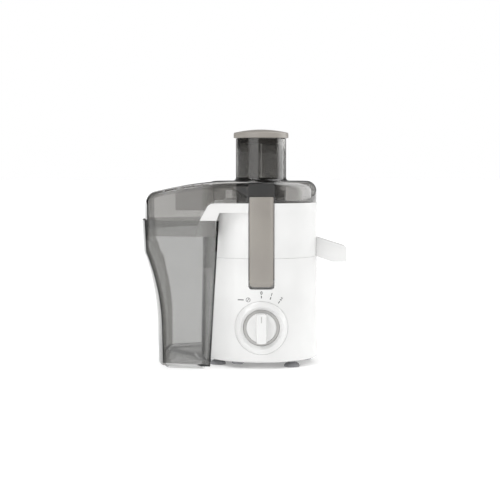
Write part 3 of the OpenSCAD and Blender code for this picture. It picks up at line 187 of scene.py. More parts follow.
# %% [markdown]
# The lid, the tube, the pusher and the bin are moulded from SAN, a clear plastic that is
# here dyed smoke-grey. The walls are real ones with two faces, so a refracting shader
# bends what is behind the rounded corners and leaves flat walls clear, as on the real
# thing. One wall lets through a half to two thirds of the light, as its base colour says.
# Lamps shine through: for a shadow ray the plastic is only a grey filter. Otherwise the
# inside would be as dark as behind a brick wall, because lamps don't follow bent light.

# %% Smoke-grey SAN
# The bin's end wall, in millimetres from the motor's axis: the centre it's turned round, its
# reach to the left at the floor and at the rim, and the curve that starts at the waist
END_AXIS, END_REACH, SHOULDER_REACH = 100, 155, 177
WAIST_Z, WAIST_CURVE, WAIST_SWEEP = 55, 332, 20


def end_wall_nearness(tree, place):
    """0 within 5 mm of the bin's end wall, 1 from 6 mm on. A parabola stands for the wall's curve."""
    offset = add_node(tree, "ShaderNodeVectorMath", {"operation": "SUBTRACT"},
                      {1: at(END_AXIS, 0, 0)}, {0: place})
    flat = add_node(tree, "ShaderNodeVectorMath", {"operation": "MULTIPLY"}, {1: (1, 1, 0)},
                    {0: offset.outputs["Vector"]})
    reach = add_node(tree, "ShaderNodeVectorMath", {"operation": "LENGTH"}, links={0: flat.outputs["Vector"]})
    height = add_node(tree, "ShaderNodeSeparateXYZ", links={"Vector": place})
    rise = calc(tree, "SUBTRACT", {1: WAIST_Z * MM}, {0: height.outputs["Z"]}, clamp=True)
    square = calc(tree, "POWER", {1: 2.0}, {0: rise})
    curve = {1: 1 / (2 * WAIST_CURVE * MM), 2: (END_AXIS + END_REACH) * MM}
    wall = calc(tree, "MULTIPLY_ADD", curve, {0: square})
    limit = calc(tree, "MINIMUM", {1: (END_AXIS + SHOULDER_REACH) * MM}, {0: wall})
    depth = calc(tree, "SUBTRACT", {}, {0: limit, 1: reach.outputs["Value"]})
    return add_node(tree, "ShaderNodeMapRange", inputs={"From Min": 5 * MM, "From Max": 6 * MM},
                    links={"Value": depth}).outputs["Result"]


def smoked_san(name, wall, edge, filter_colour, thick_end=None):
    """Clear dyed plastic: what one wall lets through face on and along its edge, and what a lamp
    sends through. Where light runs along inside the bin's end wall, thick_end takes over."""
    material, tree, output = new_material(name)
    place = object_place(tree)
    wave = noise(tree, place, 35, 1)
    haze = add_node(tree, "ShaderNodeMapRange", inputs={"To Min": 0.0, "To Max": 0.04}, links={"Value": wave})
    facing = add_node(tree, "ShaderNodeLayerWeight", inputs={"Blend": 0.5})
    depth = add_node(tree, "ShaderNodeValToRGB", links={"Fac": facing.outputs["Facing"]})
    depth.color_ramp.elements[0].position = 0.35
    depth.color_ramp.elements[0].color = linear(wall)
    depth.color_ramp.elements[1].position = 0.88
    depth.color_ramp.elements[1].color = linear(edge)
    tint = depth.outputs["Color"]
    if thick_end:
        thick = add_node(tree, "ShaderNodeMix", {"data_type": "RGBA"}, {6: linear(thick_end)},
                         {0: end_wall_nearness(tree, place), 7: tint})
        tint = thick.outputs[2]
    plastic = add_node(tree, "ShaderNodeBsdfPrincipled", inputs={"IOR": 1.56, "Transmission Weight": 1.0},
                       links={"Base Color": tint, "Roughness": haze.outputs["Result"],
                              "Normal": bump(tree, wave, 0.05, 0.5)})
    through = add_node(tree, "ShaderNodeBsdfTransparent", inputs={"Color": linear(filter_colour)})
    ray = add_node(tree, "ShaderNodeLightPath")
    lighting = calc(tree, "MAXIMUM", {}, {0: ray.outputs["Is Shadow Ray"], 1: ray.outputs["Is Diffuse Ray"]})
    surface = add_node(tree, "ShaderNodeMixShader", links={"Fac": lighting})
    tree.links.new(plastic.outputs["BSDF"], surface.inputs[1])
    tree.links.new(through.outputs["BSDF"], surface.inputs[2])
    tree.links.new(surface.outputs["Shader"], output.inputs["Surface"])
    return material


MARK_INK = moulded_abs("dark_grey_pad_ink", "#4b4b4d", "#444446", 0.45)
SMOKED_SAN = smoked_san("smoked_san", "#dadad9", "#4c4b49", "#f6f6f6")
BIN_SAN = smoked_san("smoked_san_of_bin", "#cbcbca", "#393836", "#fcfcfc", thick_end="#84837f")
# The latch channels' darker tint is painted shade for the recesses behind the latches.
CHANNEL_SHADE_SAN = smoked_san("smoked_san_with_painted_channel_shade", "#7c7b79", "#2b2a29", "#d8d8d8")
LID_SAN = smoked_san("smoked_san_of_lid", "#c6c5c3", "#242322", "#f0f0f0")
DARK_SAN = smoked_san("dark_smoked_san", "#c0bfbd", "#3c3b39", "#cacaca")
print("clear plastic:", SMOKED_SAN.name, DARK_SAN.name)

# %% [markdown]
# The feet and the cord's bush are rubber: matt, a little dusty, and never quite black.
# A fine pitted grain keeps the light soft, and its pits are about a third of a millimetre.

# %% Rubber
def rubber(name, colour, dusty):
    """Moulded rubber with a chalky bloom in patches."""
    material, tree, output = new_material(name)
    place = object_place(tree)
    tint = add_node(tree, "ShaderNodeValToRGB", links={"Fac": noise(tree, place, 8, 4)})
    tint.color_ramp.elements[0].color = linear(colour)
    tint.color_ramp.elements[1].color = linear(dusty)
    pits = bump(tree, noise(tree, place, 0.3, 2), 0.25, 0.1)
    surface = add_node(tree, "ShaderNodeBsdfPrincipled", inputs={"Roughness": 0.72, "IOR": 1.5},
                       links={"Base Color": tint.outputs["Color"], "Normal": pits})
    tree.links.new(surface.outputs["BSDF"], output.inputs["Surface"])
    return material


FOOT_RUBBER = rubber("grey_silicone_rubber", "#838386", "#97979a")
BLACK_RUBBER = rubber("black_rubber", "#1d1d1e", "#2c2c2d")
print("rubber:", FOOT_RUBBER.name, BLACK_RUBBER.name)

# %% [markdown]
# Metals inside the body and in the basket. The basket is etched and drawn stainless
# sheet, which keeps a faint drawing grain. The motor is plain pressed steel, enamelled
# copper wire and turned brass. Metal colour comes from its base colour, and its index
# of refraction stays at the default.

# %% Metals
def metal(name, colour, roughness, grain_mm, stretch):
    """Metal with a grain: grain_mm wide, and stretch times longer round the motor axis."""
    material, tree, output = new_material(name)
    place = object_place(tree)
    turn = add_node(tree, "ShaderNodeMapping", inputs={"Scale": (1, 1, stretch)},
                    links={"Vector": place})
    grain = noise(tree, turn.outputs["Vector"], grain_mm, 3)
    gloss = add_node(tree, "ShaderNodeMapRange",
                     inputs={"To Min": roughness - 0.06, "To Max": roughness + 0.1},
                     links={"Value": grain})
    surface = add_node(tree, "ShaderNodeBsdfPrincipled",
                       inputs={"Base Color": linear(colour), "Metallic": 1.0},
                       links={"Roughness": gloss.outputs["Result"], "Normal": bump(tree, grain, 0.12, 0.05)})
    tree.links.new(surface.outputs["BSDF"], output.inputs["Surface"])
    return material


STAINLESS = metal("stainless_sheet", "#c9c8c6", 0.28, 1.5, 0.2)
PRESSED_STEEL = metal("zinc_plated_steel", "#b4b6b8", 0.38, 2, 1)
COPPER_WIRE = metal("enamelled_copper_wire", "#b0663a", 0.35, 0.8, 6)
BRASS = metal("turned_brass", "#c2a05a", 0.3, 0.6, 5)
print("metals:", STAINLESS.name, PRESSED_STEEL.name, COPPER_WIRE.name, BRASS.name)

# %% [markdown]
# The filter board is brown phenolic paper laminate with a lacquer on it, and shows a
# fibrous mottling about a millimetre wide.

# %% Circuit board laminate
BOARD, tree, output = new_material("phenolic_laminate")
place = object_place(tree)
tint = add_node(tree, "ShaderNodeValToRGB", links={"Fac": noise(tree, place, 1, 4)})
tint.color_ramp.elements[0].color = linear("#5f3c1d")
tint.color_ramp.elements[1].color = linear("#80552c")
surface = add_node(tree, "ShaderNodeBsdfPrincipled", inputs={"Roughness": 0.35, "IOR": 1.55},
                   links={"Base Color": tint.outputs["Color"]})
tree.links.new(surface.outputs["BSDF"], output.inputs["Surface"])
print("board:", BOARD.name)

# %% [markdown]
# The record names one finish slot for each node, so a dictionary from slot to material
# dresses every solid that stays in view, and the ones inside too.

# %% Dress the measured solids
FINISHES = {
    "white_plastic": WHITE_ABS, "smoked_plastic": SMOKED_SAN, "warm_grey_plastic": GREY_ABS,
    "pale_grey_plastic": RING_ABS, "black_plastic": BLACK_NYLON, "foot_rubber": FOOT_RUBBER,
    "black_rubber": BLACK_RUBBER, "steel": PRESSED_STEEL, "stainless": STAINLESS,
    "copper": COPPER_WIRE, "brass": BRASS, "circuit_board": BOARD,
}
slot_of = {part["node"]: part["material_slot"] for part in frame["record"]["subparts"]}
for name, node in frame["nodes"].items():
    node.data.materials.clear()
    node.data.materials.append(FINISHES[slot_of[name]])
print("dressed", len(frame["nodes"]), "solids")

# %% [markdown]
# The studio is a wide pale floor under an even white surround, so that no edge shows
# behind the juicer. Soft light comes from all round, with one large softbox high at the
# left and a weaker one at the right. Clear plastic needs something dark to mirror, or its
# edges vanish on white, so dark panels stand at both sides, outside the picture. Here
# they are bands in the surround that only mirrored and bent light sees. The white behind
# the juicer is dim for mirrored light alone, so that the lid's top doesn't wash out.

# %% Lay the floor
bpy.ops.object.select_all(action="DESELECT")
bpy.ops.mesh.primitive_plane_add(size=80, location=(0, 0, 0))
studio_floor = bpy.context.object
studio_floor.name = "studio_floor"
bpy.ops.object.mode_set(mode="EDIT")
bpy.ops.mesh.subdivide(number_cuts=6)
bpy.ops.object.mode_set(mode="OBJECT")
PAPER, tree, output = new_material("matt_white_paper")
place = object_place(tree)
tooth = bump(tree, noise(tree, place, 2, 2), 0.05, 0.1)
surface = add_node(tree, "ShaderNodeBsdfPrincipled",
                   inputs={"Base Color": linear("#ffffff"), "Roughness": 0.9, "Specular IOR Level": 0.1,
                           "Emission Color": linear("#ffffff"), "Emission Strength": 0.12},
                   links={"Normal": tooth})
tree.links.new(surface.outputs["BSDF"], output.inputs["Surface"])
studio_floor.data.materials.append(PAPER)
print("floor faces:", len(studio_floor.data.polygons))

# %% Light it
# The surround as polished plastic sees it, by direction round the juicer: 0 is the
# camera's side, 90 the right. Each entry gives degrees and a brightness.
SURROUND = [(-152, 1.0), (-143, 0.1), (-64, 0.1), (-52, 1.3), (-16, 1.3), (-9, 0.12), (78, 0.12),
            (98, 2.8), (148, 2.8), (160, 1.0)]
BRIGHTEST = 3.0
world = bpy.data.worlds.new("white_studio")
bpy.context.scene.world = world
world.use_nodes = True
tree = world.node_tree
tree.nodes.clear()
direction = add_node(tree, "ShaderNodeTexCoord")
axes = add_node(tree, "ShaderNodeSeparateXYZ", links={"Vector": direction.outputs["Generated"]})
depth = calc(tree, "MULTIPLY", {1: -1.0}, {0: axes.outputs["Y"]})
bearing = calc(tree, "ARCTAN2", {}, {0: axes.outputs["X"], 1: depth})
turn = add_node(tree, "ShaderNodeMapRange", inputs={"From Min": -math.pi, "From Max": math.pi},
                links={"Value": bearing})
panels = add_node(tree, "ShaderNodeValToRGB", links={"Fac": turn.outputs["Result"]})
stops = panels.color_ramp.elements
for spot, (degrees, brightness) in enumerate(SURROUND):
    stop = stops[spot] if spot < 2 else stops.new((degrees + 180) / 360)
    stop.position = (degrees + 180) / 360
    stop.color = [brightness / BRIGHTEST] * 3 + [1]
ray = add_node(tree, "ShaderNodeLightPath")
behind = calc(tree, "GREATER_THAN", {1: 0.6}, {0: axes.outputs["Y"]})
mirrored = calc(tree, "MULTIPLY", {}, {0: behind, 1: ray.outputs["Is Reflection Ray"]})
plain, dim, even = [
    add_node(tree, "ShaderNodeBackground", inputs={"Color": linear("#ffffff"), "Strength": strength})
    for strength in (1.0, 0.15, 0.77)]
banded = add_node(tree, "ShaderNodeBackground", inputs={"Strength": BRIGHTEST},
                  links={"Color": panels.outputs["Color"]})
flagged = add_node(tree, "ShaderNodeMixShader",
                   links={"Fac": mirrored, 1: banded.outputs["Background"],
                          2: dim.outputs["Background"]})
soft = add_node(tree, "ShaderNodeMixShader",
                links={"Fac": ray.outputs["Is Diffuse Ray"], 1: flagged.outputs["Shader"],
                       2: even.outputs["Background"]})
seen = add_node(tree, "ShaderNodeMixShader",
                links={"Fac": ray.outputs["Is Camera Ray"], 1: soft.outputs["Shader"],
                       2: plain.outputs["Background"]})
add_node(tree, "ShaderNodeOutputWorld", links={"Surface": seen.outputs["Shader"]})


def add_softbox(name, place, aim, size, watts):
    """A large soft rectangular light that faces a point."""
    bpy.ops.object.light_add(type="AREA", location=place)
    box = bpy.context.object
    box.name = name
    box.rotation_euler = (Vector(aim) - Vector(place)).to_track_quat("-Z", "Y").to_euler()
    box.data.shape = "RECTANGLE"
    box.data.size, box.data.size_y = size
    box.data.energy = watts
    return box


key = add_softbox("key_softbox", (-1.5, -1.5, 2.2), (0, 0, 0.15), (1.6, 1.2), 20)
fill = add_softbox("fill_softbox", (1.8, -1.2, 1.2), (0, 0, 0.15), (1.0, 1.4), 1)
print("softboxes:", key.name, fill.name)

# %% [markdown]
# ## Helpers for modelling
# The same few steps come back for each moulding: start with nothing selected, draw an
# outline, give it height, cut it with another form, round its edges, and at the end give
# it a finish, a body to ride on and the measured solid that it stands for.

# %% Start, cut and finish a piece
def start_clean():
    """Object mode with nothing selected, because an operator acts on all that is selected."""
    if bpy.context.object and bpy.context.object.mode != "OBJECT":
        bpy.ops.object.mode_set(mode="OBJECT")
    bpy.ops.object.select_all(action="DESELECT")


def only(piece):
    """Make this piece the one that is selected and active."""
    start_clean()
    piece.select_set(True)
    bpy.context.view_layer.objects.active = piece


def apply_place():
    """Put the selected piece's place, turn and size into its mesh."""
    bpy.ops.object.transform_apply(location=True, rotation=True, scale=True)


def apply_modifier(piece, kind, **settings):
    """Add one modifier, set it and apply it."""
    only(piece)
    modifier = piece.modifiers.new(kind.lower(), kind)
    for name, value in settings.items():
        setattr(modifier, name, value)
    bpy.ops.object.modifier_apply(modifier=modifier.name)


def combine(piece, other, operation):
    """Cut, join or intersect a piece with another form, which then goes."""
    apply_modifier(piece, "BOOLEAN", operation=operation, object=other, solver="EXACT")
    bpy.data.objects.remove(other, do_unlink=True)


def round_edges(piece, width, segments=3, angle=35):
    """Round every edge that is sharper than this angle."""
    apply_modifier(piece, "BEVEL", width=width * MM, segments=segments, limit_method="ANGLE",
                   angle_limit=math.radians(angle), harden_normals=False)


def finish_piece(piece, material, body, slot, *nodes):
    """Settle a piece: its place in its mesh, its smooth shading and finish, the body it rides on
    and the solids it stands for. The slot argument is not used."""
    only(piece)
    apply_place()
    bpy.ops.object.mode_set(mode="EDIT")
    bpy.ops.mesh.select_all(action="SELECT")
    bpy.ops.mesh.remove_doubles(threshold=0.001 * MM)
    bpy.ops.object.mode_set(mode="OBJECT")
    bpy.ops.object.shade_smooth_by_angle(angle=math.radians(32))
    piece.data.materials.clear()
    piece.data.materials.append(material)
    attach(piece, body)
    if nodes:
        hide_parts(*nodes)
    print(piece.name, "faces:", len(piece.data.polygons), "for", nodes)
    return piece


# %% [markdown]
# Round mouldings are turned: one point is drawn along half of the section, and the line
# is spun round an upright axis. Flat-sided ones are pulled: an outline is drawn as a
# face and extruded. Both start from a small plane, merged or reshaped in edit mode.

# %% Turned and pulled forms
def turned(name, section, steps=120, x=0, y=0):
    """A section of (radius, height) in millimetres, spun all the way round an axis at x, y.
    Where it starts and ends on the axis, the line between those two points is left open."""
    start_clean()
    bpy.ops.mesh.primitive_plane_add(size=MM, location=at(x + section[0][0], y, section[0][1]))
    piece = bpy.context.object
    piece.name = name
    bpy.ops.object.mode_set(mode="EDIT")
    bpy.ops.mesh.merge(type="CENTER")
    closing = section[:1] if section[0][0] > 0 else []
    for (r0, z0), (r1, z1) in zip(section, section[1:] + closing):
        step = ((r1 - r0) * MM, 0, (z1 - z0) * MM)
        bpy.ops.mesh.extrude_region_move(TRANSFORM_OT_translate={"value": step})
    bpy.ops.mesh.select_all(action="SELECT")
    bpy.ops.mesh.remove_doubles(threshold=0.002 * MM)
    bpy.ops.mesh.select_all(action="SELECT")
    bpy.ops.mesh.spin(steps=steps, angle=2 * math.pi, center=at(x, y, 0), axis=(0, 0, 1))
    bpy.ops.mesh.select_all(action="SELECT")
    bpy.ops.mesh.remove_doubles(threshold=0.002 * MM)
    bpy.ops.mesh.normals_make_consistent(inside=False)
    bpy.ops.object.mode_set(mode="OBJECT")
    only(piece)
    apply_place()
    return piece


def pulled(name, outline, along, start, end):
    """An outline in millimetres, pulled along 'Z' from (x, y) points or along 'Y' from (x, z) points."""
    start_clean()
    bpy.ops.mesh.primitive_plane_add(size=MM, location=at(0, 0, 0))
    piece = bpy.context.object
    piece.name = name
    bpy.ops.object.mode_set(mode="EDIT")
    bpy.ops.mesh.delete(type="VERT")
    mesh = bmesh.from_edit_mesh(piece.data)
    places = [(a, b, start) if along == "Z" else (a, start, b) for a, b in outline]
    corners = [mesh.verts.new(Vector(place) * MM) for place in places]
    for first, second in zip(corners, corners[1:] + corners[:1]):
        mesh.edges.new((first, second))
    bmesh.update_edit_mesh(piece.data)
    bpy.ops.mesh.select_all(action="SELECT")
    bpy.ops.mesh.edge_face_add()
    move = (0, 0, end - start) if along == "Z" else (0, end - start, 0)
    bpy.ops.mesh.extrude_region_move(TRANSFORM_OT_translate={"value": Vector(move) * MM})
    bpy.ops.mesh.select_all(action="SELECT")
    bpy.ops.mesh.normals_make_consistent(inside=False)
    bpy.ops.object.mode_set(mode="OBJECT")
    only(piece)
    apply_place()
    return piece


def bend_points(centre, radius, start, end, steps):
    """Points along an arc, by angle in degrees."""
    return [(centre[0] + radius * math.cos(math.radians(start + (end - start) * i / steps)),
             centre[1] + radius * math.sin(math.radians(start + (end - start) * i / steps)))
            for i in range(steps + 1)]


def block(name, low, high):
    """A box between two corners in millimetres, as a cutter or a start."""
    start_clean()
    middle = at(*[(a + b) / 2 for a, b in zip(low, high)])
    bpy.ops.mesh.primitive_cube_add(size=1, location=middle, scale=[(b - a) * MM for a, b in zip(low, high)])
    piece = bpy.context.object
    piece.name = name
    apply_place()
    return piece


def joined(name, pieces):
    """Several pieces made into one object."""
    start_clean()
    for piece in pieces:
        piece.select_set(True)
    bpy.context.view_layer.objects.active = pieces[0]
    bpy.ops.object.join()
    whole = bpy.context.object
    whole.name = name
    return whole


print("helpers are ready")

# %% [markdown]
# ## Pulp bin
# The bin is one thin moulding. Its front and rear walls bulge, its end wall stands upright
# to a waist and then curves out to a shoulder, its cheek leans, and its inside wraps the
# round body. The same form is made twice, the second one drawn in by the wall's
# thickness, and the inner one hollows the outer one.

# %% Sizes of the bin, in millimetres from the motor's axis
BIN_RIM, BIN_WALL = 215, 2.5
# The front and rear walls: the radius they bulge by, and where they stand widest apart
SIDE_BULGE, WIDE_X, HALF_WIDE = 246, -60, 88
# The cheek beside the body: where it stands at the rim, and how much further left at the floor
CHEEK_X, CHEEK_LEAN = -61.3, 13
# The round body's radius and height at its lower edge and at its seam
BODY_LOW, BODY_HIGH = (86.4, 9.3), (83.5, 160)
BODY_GAP = 1.5


def plan_outline(inset, right, left=-185):
    """The bulging outline seen from above, drawn in by inset."""
    front = []
    for i in range(25):
        x = WIDE_X + (left - WIDE_X) * i / 24
        front.append((x, -math.sqrt((SIDE_BULGE - inset) ** 2 - (x - WIDE_X) ** 2) + SIDE_BULGE - HALF_WIDE))
    outline = [(right, inset - HALF_WIDE)] + front
    return outline + [(x, -y) for x, y in reversed(outline)]


def bin_form(name, inset, low, high):
    """The bin's outer form drawn in by inset, between two heights."""
    form = pulled(name, plan_outline(inset, -20), "Z", low, high)
    reach = END_AXIS - inset
    turns = [math.radians(WAIST_SWEEP * i / 14) for i in range(15)]
    waist = [(reach + END_REACH + WAIST_CURVE - WAIST_CURVE * math.cos(turn),
              WAIST_Z + WAIST_CURVE * math.sin(turn)) for turn in turns]
    shoulder = reach + SHOULDER_REACH
    end = turned("end_form", [(0, -20), (reach + END_REACH - 1, -20), (reach + END_REACH - 1, 0)] + waist
                 + [(shoulder, BIN_RIM), (shoulder, 240), (0, 240)], 160, END_AXIS)
    combine(form, end, "INTERSECT")
    lean = CHEEK_LEAN / BIN_RIM
    cheek = pulled("cheek_form", [(-200, -30), (CHEEK_X - inset - lean * (BIN_RIM + 30), -30),
                                  (CHEEK_X - inset + lean * 25, 240), (-200, 240)], "Y", -100, 100)
    combine(form, cheek, "INTERSECT")
    return form


def body_radius(height):
    """The round body's radius at a height below its seam."""
    slope = (BODY_HIGH[0] - BODY_LOW[0]) / (BODY_HIGH[1] - BODY_LOW[1])
    return BODY_LOW[0] + slope * (height - BODY_LOW[1])


def body_form(extra, low=-10, high=230):
    """The round body with a gap left round it."""
    section = [(0, low), (body_radius(low) + extra, low), (BODY_HIGH[0] + extra, BODY_HIGH[1]),
               (BODY_HIGH[0] + extra, high), (0, high)]
    return turned("body_form", section, 144)


# %% Outer form of the bin
pulp_bin = bin_form("pulp_bin_shell", 0, 4.5, BIN_RIM)
combine(pulp_bin, body_form(BODY_GAP), "DIFFERENCE")
print("outer form:", len(pulp_bin.data.polygons), "faces")

# %% Round its edges
round_edges(pulp_bin, 2.2, 4, 40)
print("rounded:", len(pulp_bin.data.polygons), "faces")

# %% Hollow it, open at the top
hollow = bin_form("bin_hollow", BIN_WALL, 7.5, BIN_RIM + 8)
combine(hollow, body_form(BODY_GAP + BIN_WALL), "DIFFERENCE")
round_edges(hollow, 1.0, 2, 40)
combine(pulp_bin, hollow, "DIFFERENCE")
print("hollow:", len(pulp_bin.data.polygons), "faces")

# %% Foot ring under it
foot = bin_form("bin_foot", 8, 0, 6)
combine(foot, body_form(9.5), "DIFFERENCE")
foot_space = bin_form("foot_space", 10.5, -1, 4.5)
combine(foot_space, body_form(12), "DIFFERENCE")
combine(pulp_bin, foot, "UNION")
combine(pulp_bin, foot_space, "DIFFERENCE")
finish_piece(pulp_bin, BIN_SAN, "base", "smoked_plastic", "pulp_bin")

# %% [markdown]
# ## Lid
# The lid is one smoked moulding: a round cap over the bowl, a dome that carries the pulp
# over to the bin, a skirt that hangs inside the bin, and the feed tube. The dome is the
# bin's outline cut by the end wall's round and by a long, falling ridge.

# %% Sizes of the lid
LID_TOP, LID_SEAT, SKIRT, LID_WALL = 272, 240.3, 192, 2.2
CAP_RADIUS, CAP_EDGE = 83, 15
# The dome: its gap to the bin's outline, its ridge's radius and where that starts to fall, its
# reach to the left, the round at its end, and its upper edges' rounding and number of layers
SKIRT_GAP, RIDGE_RADIUS, RIDGE_X, DOME_REACH = 2.9, 520, -30, 173.1
END_ROUND, DOME_EDGE, DOME_LAYERS = 24, 7, 5
# The dome's flat top lies this much under the cap's, so that their faces never coincide
SINK = 0.06
TUBE_OUT, TUBE_IN = 37.5, 35.3
TUBE_LOW, TUBE_TOP, TUBE_FOOT = 200.8, 335, 5
CHANNEL_HALF, CHANNEL_BACK = 19, 72
CHANNEL_LOW, CHANNEL_HIGH, LEDGE_BACK = 243, 268.6, 76.8
LINING_HALF, LINING_BACK, LINING_TOP = 21.2, 69.8, 270.9
# How far added walls reach into the shell's own, so that they join it
BITE = 0.4
# Each by two opposite corners: the baffle, the guide rib and its window
BAFFLE = (-131.5, 60, 226), (-71.5, 62.2, 290)
GUIDE = (-70, -62.2, LID_SEAT + 4), (-22.5, -60, 290)
WINDOW = (-52, -70, 247), (-42, -50, 259)
# The locating lip: its radii, its edges' heights and its left end
LIP_OUT, LIP_IN, LIP_LOW, LIP_TOP, LIP_LEFT = 80.95, 78.7, 236.3, 244.3, 23
# The bowl's hooks over the bin: the inner and outer ends of the notch that clears them,
# its lower edge, and the centre and radius of its round corner
HOOK_IN, HOOK_OUT, HOOK_LOW = -66.1, -89.4, 214.6
HOOK_ROUND, HOOK_RADIUS = (-68.5, 228), 12.4


def dome_slice(inset, step, drop, right):
    """One layer of the dome: its outline stepped in, under its ridge lowered by drop."""
    form = pulled("dome_slice", plan_outline(SKIRT_GAP + inset + step, right), "Z", SKIRT - 8, LID_TOP + 8)
    reach = END_AXIS + DOME_REACH - inset - step
    end = turned("dome_end", [(0, 150), (reach, 150), (reach, 300), (0, 300)], 160, END_AXIS)
    combine(form, end, "INTERSECT")
    big, small = RIDGE_RADIUS - inset, END_ROUND - inset
    base = LID_TOP - RIDGE_RADIUS - SINK - drop
    small_x = END_ROUND - DOME_REACH
    small_z = base + math.sqrt((big - small) ** 2 - (small_x - RIDGE_X) ** 2)
    meet = math.degrees(math.atan2(small_z - base, small_x - RIDGE_X))
    ridge_line = bend_points((RIDGE_X, base), big, 90, meet, 20)
    ridge_line += bend_points((small_x, small_z), small, meet, 180, 10)[1:]
    ridge = pulled("ridge_form", [(right + 5, 150), (right + 5, base + big)] + ridge_line
                   + [(inset - DOME_REACH, 150)], "Y", -100, 100)
    combine(form, ridge, "INTERSECT")
    return form


def dome_form(name, inset, right):
    """The dome with its skirt, drawn in by inset, its upper edges rounded by layers in one hull."""
    quarter = math.pi / 2 / (DOME_LAYERS - 1)
    layers = [dome_slice(inset, DOME_EDGE * (1 - math.cos(turn * quarter)),
                         DOME_EDGE * (1 - math.sin(turn * quarter)), right) for turn in range(DOME_LAYERS)]
    form = joined(name, layers)
    bpy.ops.object.mode_set(mode="EDIT")
    bpy.ops.mesh.select_all(action="SELECT")
    bpy.ops.mesh.convex_hull(delete_unused=True, use_existing_faces=False, join_triangles=False)
    bpy.ops.object.mode_set(mode="OBJECT")
    return form


def cap_form(name, inset, low):
    """The round cap over the bowl, drawn in by inset."""
    corner = bend_points((CAP_RADIUS - CAP_EDGE, LID_TOP - CAP_EDGE), CAP_EDGE - inset, 0, 90, 10)
    return turned(name, [(0, low), (CAP_RADIUS - inset, low)] + corner + [(0, LID_TOP - inset)], 144)


# %% Outer form: dome and cap, with the notch for the bowl's hooks
lid = dome_form("lid_shell", 0, 0)
notch_corner = bend_points(HOOK_ROUND, HOOK_RADIUS, 165, 90, 8)
notch = pulled("hook_notch", [(95, LID_SEAT), (95, 150), (HOOK_IN, 150), (HOOK_IN, HOOK_LOW),
                              (HOOK_OUT, HOOK_LOW)] + notch_corner, "Y", -100, 100)
combine(lid, notch, "DIFFERENCE")
combine(lid, block("below_skirt", (-200, -100, 100), (100, 100, SKIRT)), "DIFFERENCE")
combine(lid, cap_form("cap_outside", 0, LID_SEAT), "UNION")
print("outer form:", len(lid.data.polygons), "faces")

# %% Hollow it
combine(lid, dome_form("dome_inside", LID_WALL, LID_WALL), "DIFFERENCE")
combine(lid, cap_form("cap_inside", LID_WALL, LID_SEAT - 5), "DIFFERENCE")
print("hollow:", len(lid.data.polygons), "faces")

# %% Linings of the latch channels
for side in (-1, 1):
    low_y, high_y = sorted((side * 95, side * LINING_BACK))
    lining = block("channel_lining", (-LINING_HALF, low_y, LID_SEAT - 5), (LINING_HALF, high_y, LINING_TOP))
    combine(lining, cap_form("cap_limit", BITE, LID_SEAT + 0.05), "INTERSECT")
    combine(lid, lining, "UNION")
print("with linings:", len(lid.data.polygons), "faces")

# %% The baffle, the guide rib with its window and the locating lip
baffle = block("baffle", *BAFFLE)
combine(baffle, dome_form("dome_limit", BITE, 0), "INTERSECT")
combine(lid, baffle, "UNION")
guide = block("front_guide", *GUIDE)
combine(guide, block("guide_window", *WINDOW), "DIFFERENCE")
combine(guide, dome_form("guide_limit", BITE, 0), "INTERSECT")
combine(lid, guide, "UNION")
lip = turned("locating_lip", [(LIP_OUT, LIP_LOW), (LIP_OUT, LIP_TOP), (LIP_IN, LIP_TOP), (LIP_IN, LIP_LOW)],
             144)
combine(lip, block("lip_part", (LIP_LEFT, -100, 200), (100, 100, 300)), "INTERSECT")
combine(lid, lip, "UNION")
print("with baffle, guide and lip:", len(lid.data.polygons), "faces")

# %% Feed tube with its fillet, and the channels cut through
fillet = bend_points((TUBE_OUT + TUBE_FOOT, LID_TOP + TUBE_FOOT), TUBE_FOOT, 270, 180, 8)
tube = turned("feed_tube", [(TUBE_IN, TUBE_LOW), (TUBE_OUT, TUBE_LOW), (TUBE_OUT, LID_TOP - 2),
                            (TUBE_OUT + TUBE_FOOT, LID_TOP - 2)]
              + fillet + [(TUBE_OUT, TUBE_TOP - 0.8), (TUBE_OUT - 0.8, TUBE_TOP), (TUBE_IN + 0.7, TUBE_TOP),
                          (TUBE_IN, TUBE_TOP - 0.7)], 160)
hole = turned("tube_hole", [(0, 190), (TUBE_IN + 1, 190), (TUBE_IN + 1, 350), (0, 350)], 160)
combine(lid, hole, "DIFFERENCE")
combine(lid, tube, "UNION")
for side in (-1, 1):
    low_y, high_y = sorted((side * 98, side * CHANNEL_BACK))
    channel = block("channel", (-CHANNEL_HALF, low_y, CHANNEL_LOW), (CHANNEL_HALF, high_y, CHANNEL_HIGH))
    combine(lid, channel, "DIFFERENCE")
    low_y, high_y = sorted((side * 98, side * LEDGE_BACK))
    mouth = block("ledge_mouth", (-CHANNEL_HALF, low_y, 230), (CHANNEL_HALF, high_y, 250))
    combine(lid, mouth, "DIFFERENCE")
finish_piece(lid, LID_SAN, "base", "smoked_plastic", "lid")

# %% The walls behind the latches are tinted darker: painted shade of the recesses the latches sit in
lid.data.materials.append(CHANNEL_SHADE_SAN)
for face in lid.data.polygons:
    middle = (face.center - AXIS) / MM
    behind_latch = LINING_BACK - 0.1 < abs(middle.y) < CHANNEL_BACK + 0.1
    if behind_latch and abs(middle.x) < LINING_HALF + 0.2 and middle.z > LID_SEAT + 0.7:
        face.material_index = 1
print("dark faces:", sum(face.material_index for face in lid.data.polygons))

# %% [markdown]
# ## Juice spout
# The spout is a covered white gutter that leaves the bowl low on its right, falls a
# little and turns down at its mouth. Its outer corners are well rounded.

# %% Sizes of the spout
SPOUT_HALF, SPOUT_WALL = 16, 2.2
SPOUT_END, SPOUT_ROOT, SPOUT_FALL = 127.5, 188, 13.5
SPOUT_FLOOR, MOUTH_LOW, MOUTH_LEFT = 159.5, 151.5, 106.5
SPOUT_BEND, SPOUT_CORNER = 83.5, 5
# Each by two opposite corners: the port into the bowl and the way through it
PORT = (81.3, -12.7, 167.8), (85, 12.7, 181.2)
PORT_WAY = (78, -10.5, 168.9), (90, 10.5, 180.1)


